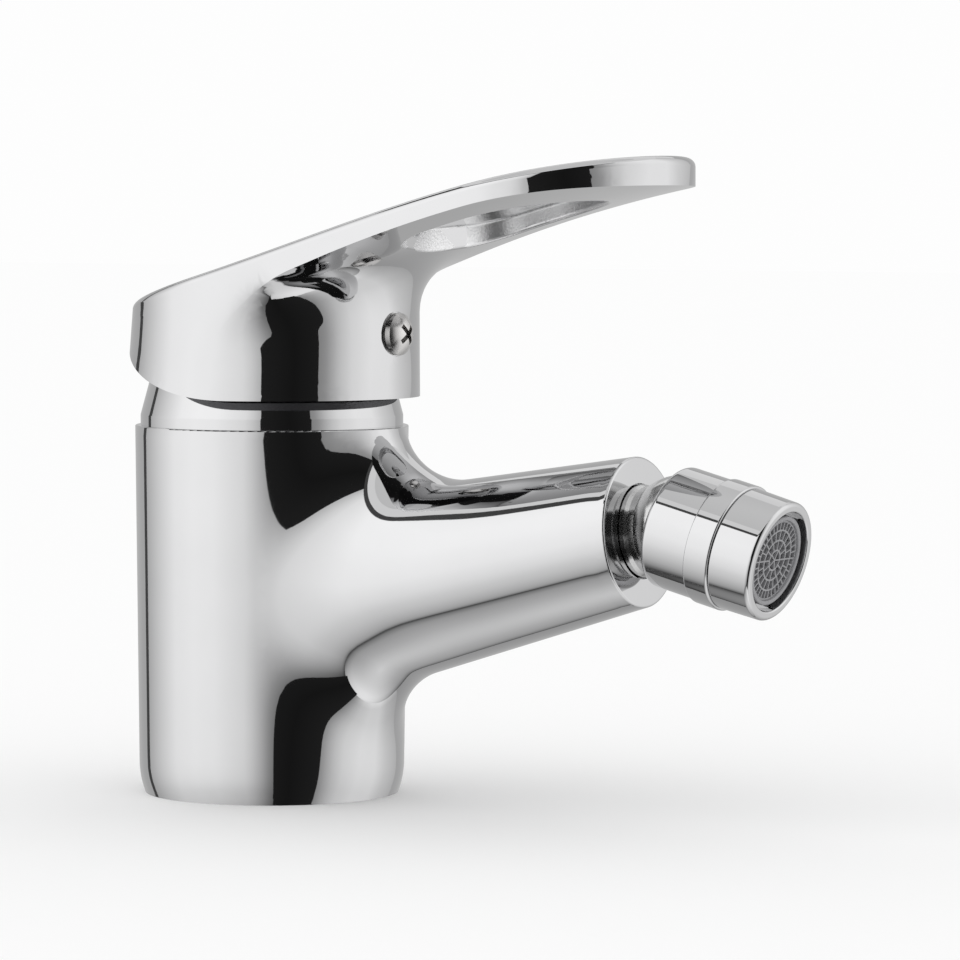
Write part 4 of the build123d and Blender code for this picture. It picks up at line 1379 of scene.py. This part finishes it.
@dataclass
class Studio:
    """Pale floor, even white surroundings and reflection cards."""

    camera_place: tuple[float, float, float] = (0.54236, -0.79984, 0.11545)
    camera_heading: float = 121.755579
    camera_pitch: float = -3.261481
    camera_roll: float = 0.134825
    lens: float = 187.5
    sensor: float = 36.0
    floor_half: float = 6.0
    world_level: float = 1.04
    bright_fall: tuple[tuple[float, float], ...] = (
        (-1.0, 0.07), (-0.97, 0.22), (-0.90, 0.38), (-0.78, 0.47), (-0.57, 0.60), (-0.42, 0.68),
        (-0.26, 0.80), (0.0, 0.93), (0.4, 1.0), (1.0, 1.0), (1.3, 0.8),
    )
    even: tuple[tuple[float, float], ...] = ((-1.0, 1.0), (1.3, 1.0))
    right_fall: tuple[tuple[float, float], ...] = (
        (-1.0, 0.9), (-0.78, 0.75), (-0.42, 0.78), (-0.26, 0.85), (0.0, 0.95), (0.4, 1.0), (1.0, 1.0),
    )
    back_fall: tuple[tuple[float, float], ...] = ((-1.0, 0.8), (-0.4, 0.9), (0.0, 1.0), (0.6, 1.0))
    cards: tuple[Card, ...] = (
        Card(
            "left_card", 0.85, ((-1.0, -131.0, 3.0), (0.90, -131.0, 3.0)),
            ((-131.0, 0.66), (-122.0, 0.82), (-107.0, 1.10), (-90.0, 1.40), (-70.0, 1.48), (-50.0, 1.44),
             (-24.0, 1.20), (-17.0, 1.00), (-9.0, 0.70), (-4.0, 0.48), (3.0, 0.25)),
            bright_fall,
        ),
        Card(
            "right_card", 0.85, ((-1.0, 30.0, 137.0), (0.90, 30.0, 137.0)),
            ((30.0, 0.30), (40.0, 0.45), (47.0, 0.7), (53.0, 0.9), (62.0, 1.12), (80.0, 1.30), (100.0, 1.28),
             (115.0, 1.0), (137.0, 0.72)),
            right_fall,
        ),
        Card(
            "back_card", 0.85, ((-1.0, 137.0, 223.0), (0.6, 137.0, 223.0)),
            ((137.0, 0.55), (223.0, 0.55)), back_fall,
        ),
        Card(
            "dark_card", 0.80,
            ((-1.0, 1.0, 40.0), (-0.036, 1.0, 40.0), (0.024, -10.0, 34.0), (0.88, -10.0, 36.0)),
            ((-10.0, 0.02), (15.0, 0.012), (40.0, 0.02)), even,
        ),
        Card(
            "edge_card", 0.80, ((-1.0, -137.0, -131.0), (0.9, -137.0, -131.0)),
            ((-137.0, 0.08), (-131.0, 0.08)), even,
        ),
        Card(
            "strip_card", 0.82, ((0.88, -137.0, 60.0), (1.0, -137.0, 60.0)),
            ((-137.0, 0.08), (60.0, 0.08)), even,
        ),
    )
    low_card_height: float = -1.0
    low_card_levels: tuple[tuple[float, float], ...] = (
        (0.0, 1.0), (0.40, 0.66), (0.66, 0.50), (0.78, 0.30), (0.85, 0.07),
    )
    low_card_front: float = 1.1
    high_card_height: float = 1.35
    high_card_levels: tuple[tuple[float, float], ...] = ((0.0, 0.86), (0.85, 0.80))
    round_card_rings: int = 24
    round_card_segments: int = 96
    front_fade: float = 1.5
    floor_colour: tuple[float, float, float] = (0.94, 0.94, 0.94)
    floor_roughness: float = 0.9
    seen_colour: tuple[float, float, float] = (0.985, 0.985, 0.985)
    clip: tuple[float, float] = (0.05, 50.0)

    def build(self) -> None:
        """Makes the floor, the cards, the world and the camera."""
        self.add_floor()
        glow = self.glow()
        facing = atan2(self.camera_place[1], self.camera_place[0])
        for card in self.cards:
            self.stand(card.build(facing), glow)
        low = self.round_card("low_card", self.low_card_height, self.low_card_levels, self.low_card_front)
        high = self.round_card("high_card", self.high_card_height, self.high_card_levels, 0.0)
        self.stand(low, glow)
        self.stand(high, glow)
        self.light_world()
        self.add_camera()
        bpy.context.scene.view_settings.view_transform = "Standard"
        log.info("studio: %d cards round the mixer, one under it and one over it", len(self.cards))

    def add_floor(self) -> None:
        """Pale floor that takes the mixer's shadow."""
        shape = bmesh.new()
        bmesh.ops.create_grid(shape, x_segments=1, y_segments=1, size=self.floor_half)
        floor = link_mesh("floor", shape)
        material = bpy.data.materials.new("pale_floor")
        material.use_nodes = True
        shader = material.node_tree.nodes["Principled BSDF"]
        shader.inputs["Base Color"].default_value = (*self.floor_colour, 1.0)
        shader.inputs["Roughness"].default_value = self.floor_roughness
        shader.inputs["Specular IOR Level"].default_value = 0.0
        floor.data.materials.append(material)
        floor.visible_glossy = False

    def round_card(
        self, name: str, height: float, levels: tuple[tuple[float, float], ...], front: float
    ) -> bpy.types.Object:
        """Round level panel under or over the mixer.

        Args:
            name: The panel's name.
            height: How high it lies.
            levels: Its level over the distance from the middle.
            front: What is added at its edge towards +X, fading to none at the sides.

        Returns:
            The panel.
        """
        shape = bmesh.new()
        rim, rings = levels[-1][0], self.round_card_rings
        points = [shape.verts.new((rim * i / rings, 0, 0)) for i in range(rings + 1)]
        edges = [shape.edges.new(pair) for pair in zip(points, points[1:])]
        bmesh.ops.spin(
            shape, geom=points + edges, cent=(0, 0, 0), axis=(0, 0, 1), angle=2 * pi,
            steps=self.round_card_segments, use_merge=True,
        )
        bmesh.ops.remove_doubles(shape, verts=shape.verts, dist=MERGE)
        layer = shape.verts.layers.float.new("level")
        for vert in shape.verts:
            ahead = max(0.0, vert.co.x / rim)
            level = np.interp(hypot(vert.co.x, vert.co.y), *zip(*levels))
            vert[layer] = level + front * ahead**self.front_fade
            vert.co.z = height
        return link_mesh(name, shape)

    def stand(self, panel: bpy.types.Object, glow: bpy.types.Material) -> None:
        """Leaves a panel to reflections only.

        Args:
            panel: The panel.
            glow: Its material.
        """
        panel.visible_camera = False
        panel.visible_shadow = False
        panel.visible_diffuse = False
        panel.data.materials.append(glow)

    def glow(self) -> bpy.types.Material:
        """Soft light whose strength is the panel's own level.

        Returns:
            The material.
        """
        material = bpy.data.materials.new("panel_light")
        material.use_nodes = True
        nodes, links = material.node_tree.nodes, material.node_tree.links
        nodes.clear()
        level = nodes.new("ShaderNodeAttribute")
        level.attribute_name = "level"
        light, out = nodes.new("ShaderNodeEmission"), nodes.new("ShaderNodeOutputMaterial")
        light.inputs["Color"].default_value = (1.0, 1.0, 1.0, 1.0)
        links.new(level.outputs["Fac"], light.inputs["Strength"])
        links.new(light.outputs["Emission"], out.inputs["Surface"])
        return material

    def light_world(self) -> None:
        """White surroundings for the eye and for reflections, a plain level for everything else."""
        world = bpy.data.worlds.new("white_surroundings")
        bpy.context.scene.world = world
        world.use_nodes = True
        nodes, links = world.node_tree.nodes, world.node_tree.links
        nodes.clear()
        path = nodes.new("ShaderNodeLightPath")
        either = nodes.new("ShaderNodeMath")
        either.operation = "MAXIMUM"
        seen, plain = nodes.new("ShaderNodeBackground"), nodes.new("ShaderNodeBackground")
        seen.inputs["Color"].default_value = (*self.seen_colour, 1.0)
        plain.inputs["Color"].default_value = (1.0, 1.0, 1.0, 1.0)
        plain.inputs["Strength"].default_value = self.world_level
        mix, out = nodes.new("ShaderNodeMixShader"), nodes.new("ShaderNodeOutputWorld")
        links.new(path.outputs["Is Camera Ray"], either.inputs[0])
        links.new(path.outputs["Is Glossy Ray"], either.inputs[1])
        links.new(either.outputs["Value"], mix.inputs["Fac"])
        links.new(plain.outputs["Background"], mix.inputs[1])
        links.new(seen.outputs["Background"], mix.inputs[2])
        links.new(mix.outputs["Shader"], out.inputs["Surface"])

    def add_camera(self) -> None:
        """Camera at the photo's angle, its heading taken from +X towards +Y and its pitch up from level."""
        data = bpy.data.cameras.new("camera")
        data.lens, data.sensor_width = self.lens, self.sensor
        data.clip_start, data.clip_end = self.clip
        camera = bpy.data.objects.new("camera", data)
        bpy.context.scene.collection.objects.link(camera)
        heading = Matrix.Rotation(radians(self.camera_heading - 90), 4, "Z")
        pitch = Matrix.Rotation(radians(self.camera_pitch + 90), 4, "X")
        roll = Matrix.Rotation(radians(self.camera_roll), 4, "Z")
        camera.matrix_world = Matrix.Translation(self.camera_place) @ heading @ pitch @ roll
        bpy.context.scene.camera = camera


def main() -> None:
    """Builds the mixer's pieces in order, then the studio."""
    logging.basicConfig(level=logging.INFO, format="%(name)s: %(message)s")
    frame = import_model()
    nodes = frame["nodes"]
    slots = {row["node"]: row["material_slot"] for row in frame["record"]["subparts"]}
    palette = Palette()
    palette.build()
    MixerBody().build(nodes["body"], palette)
    DomeRing().build(palette)
    Lever().build(nodes["lever"], palette)
    BallStem().build(nodes["ball_stem"], palette)
    SprayEnd().build(palette)
    Internals(slots).build(nodes, palette)
    Studio().build()


if __name__ == "__main__":
    main()
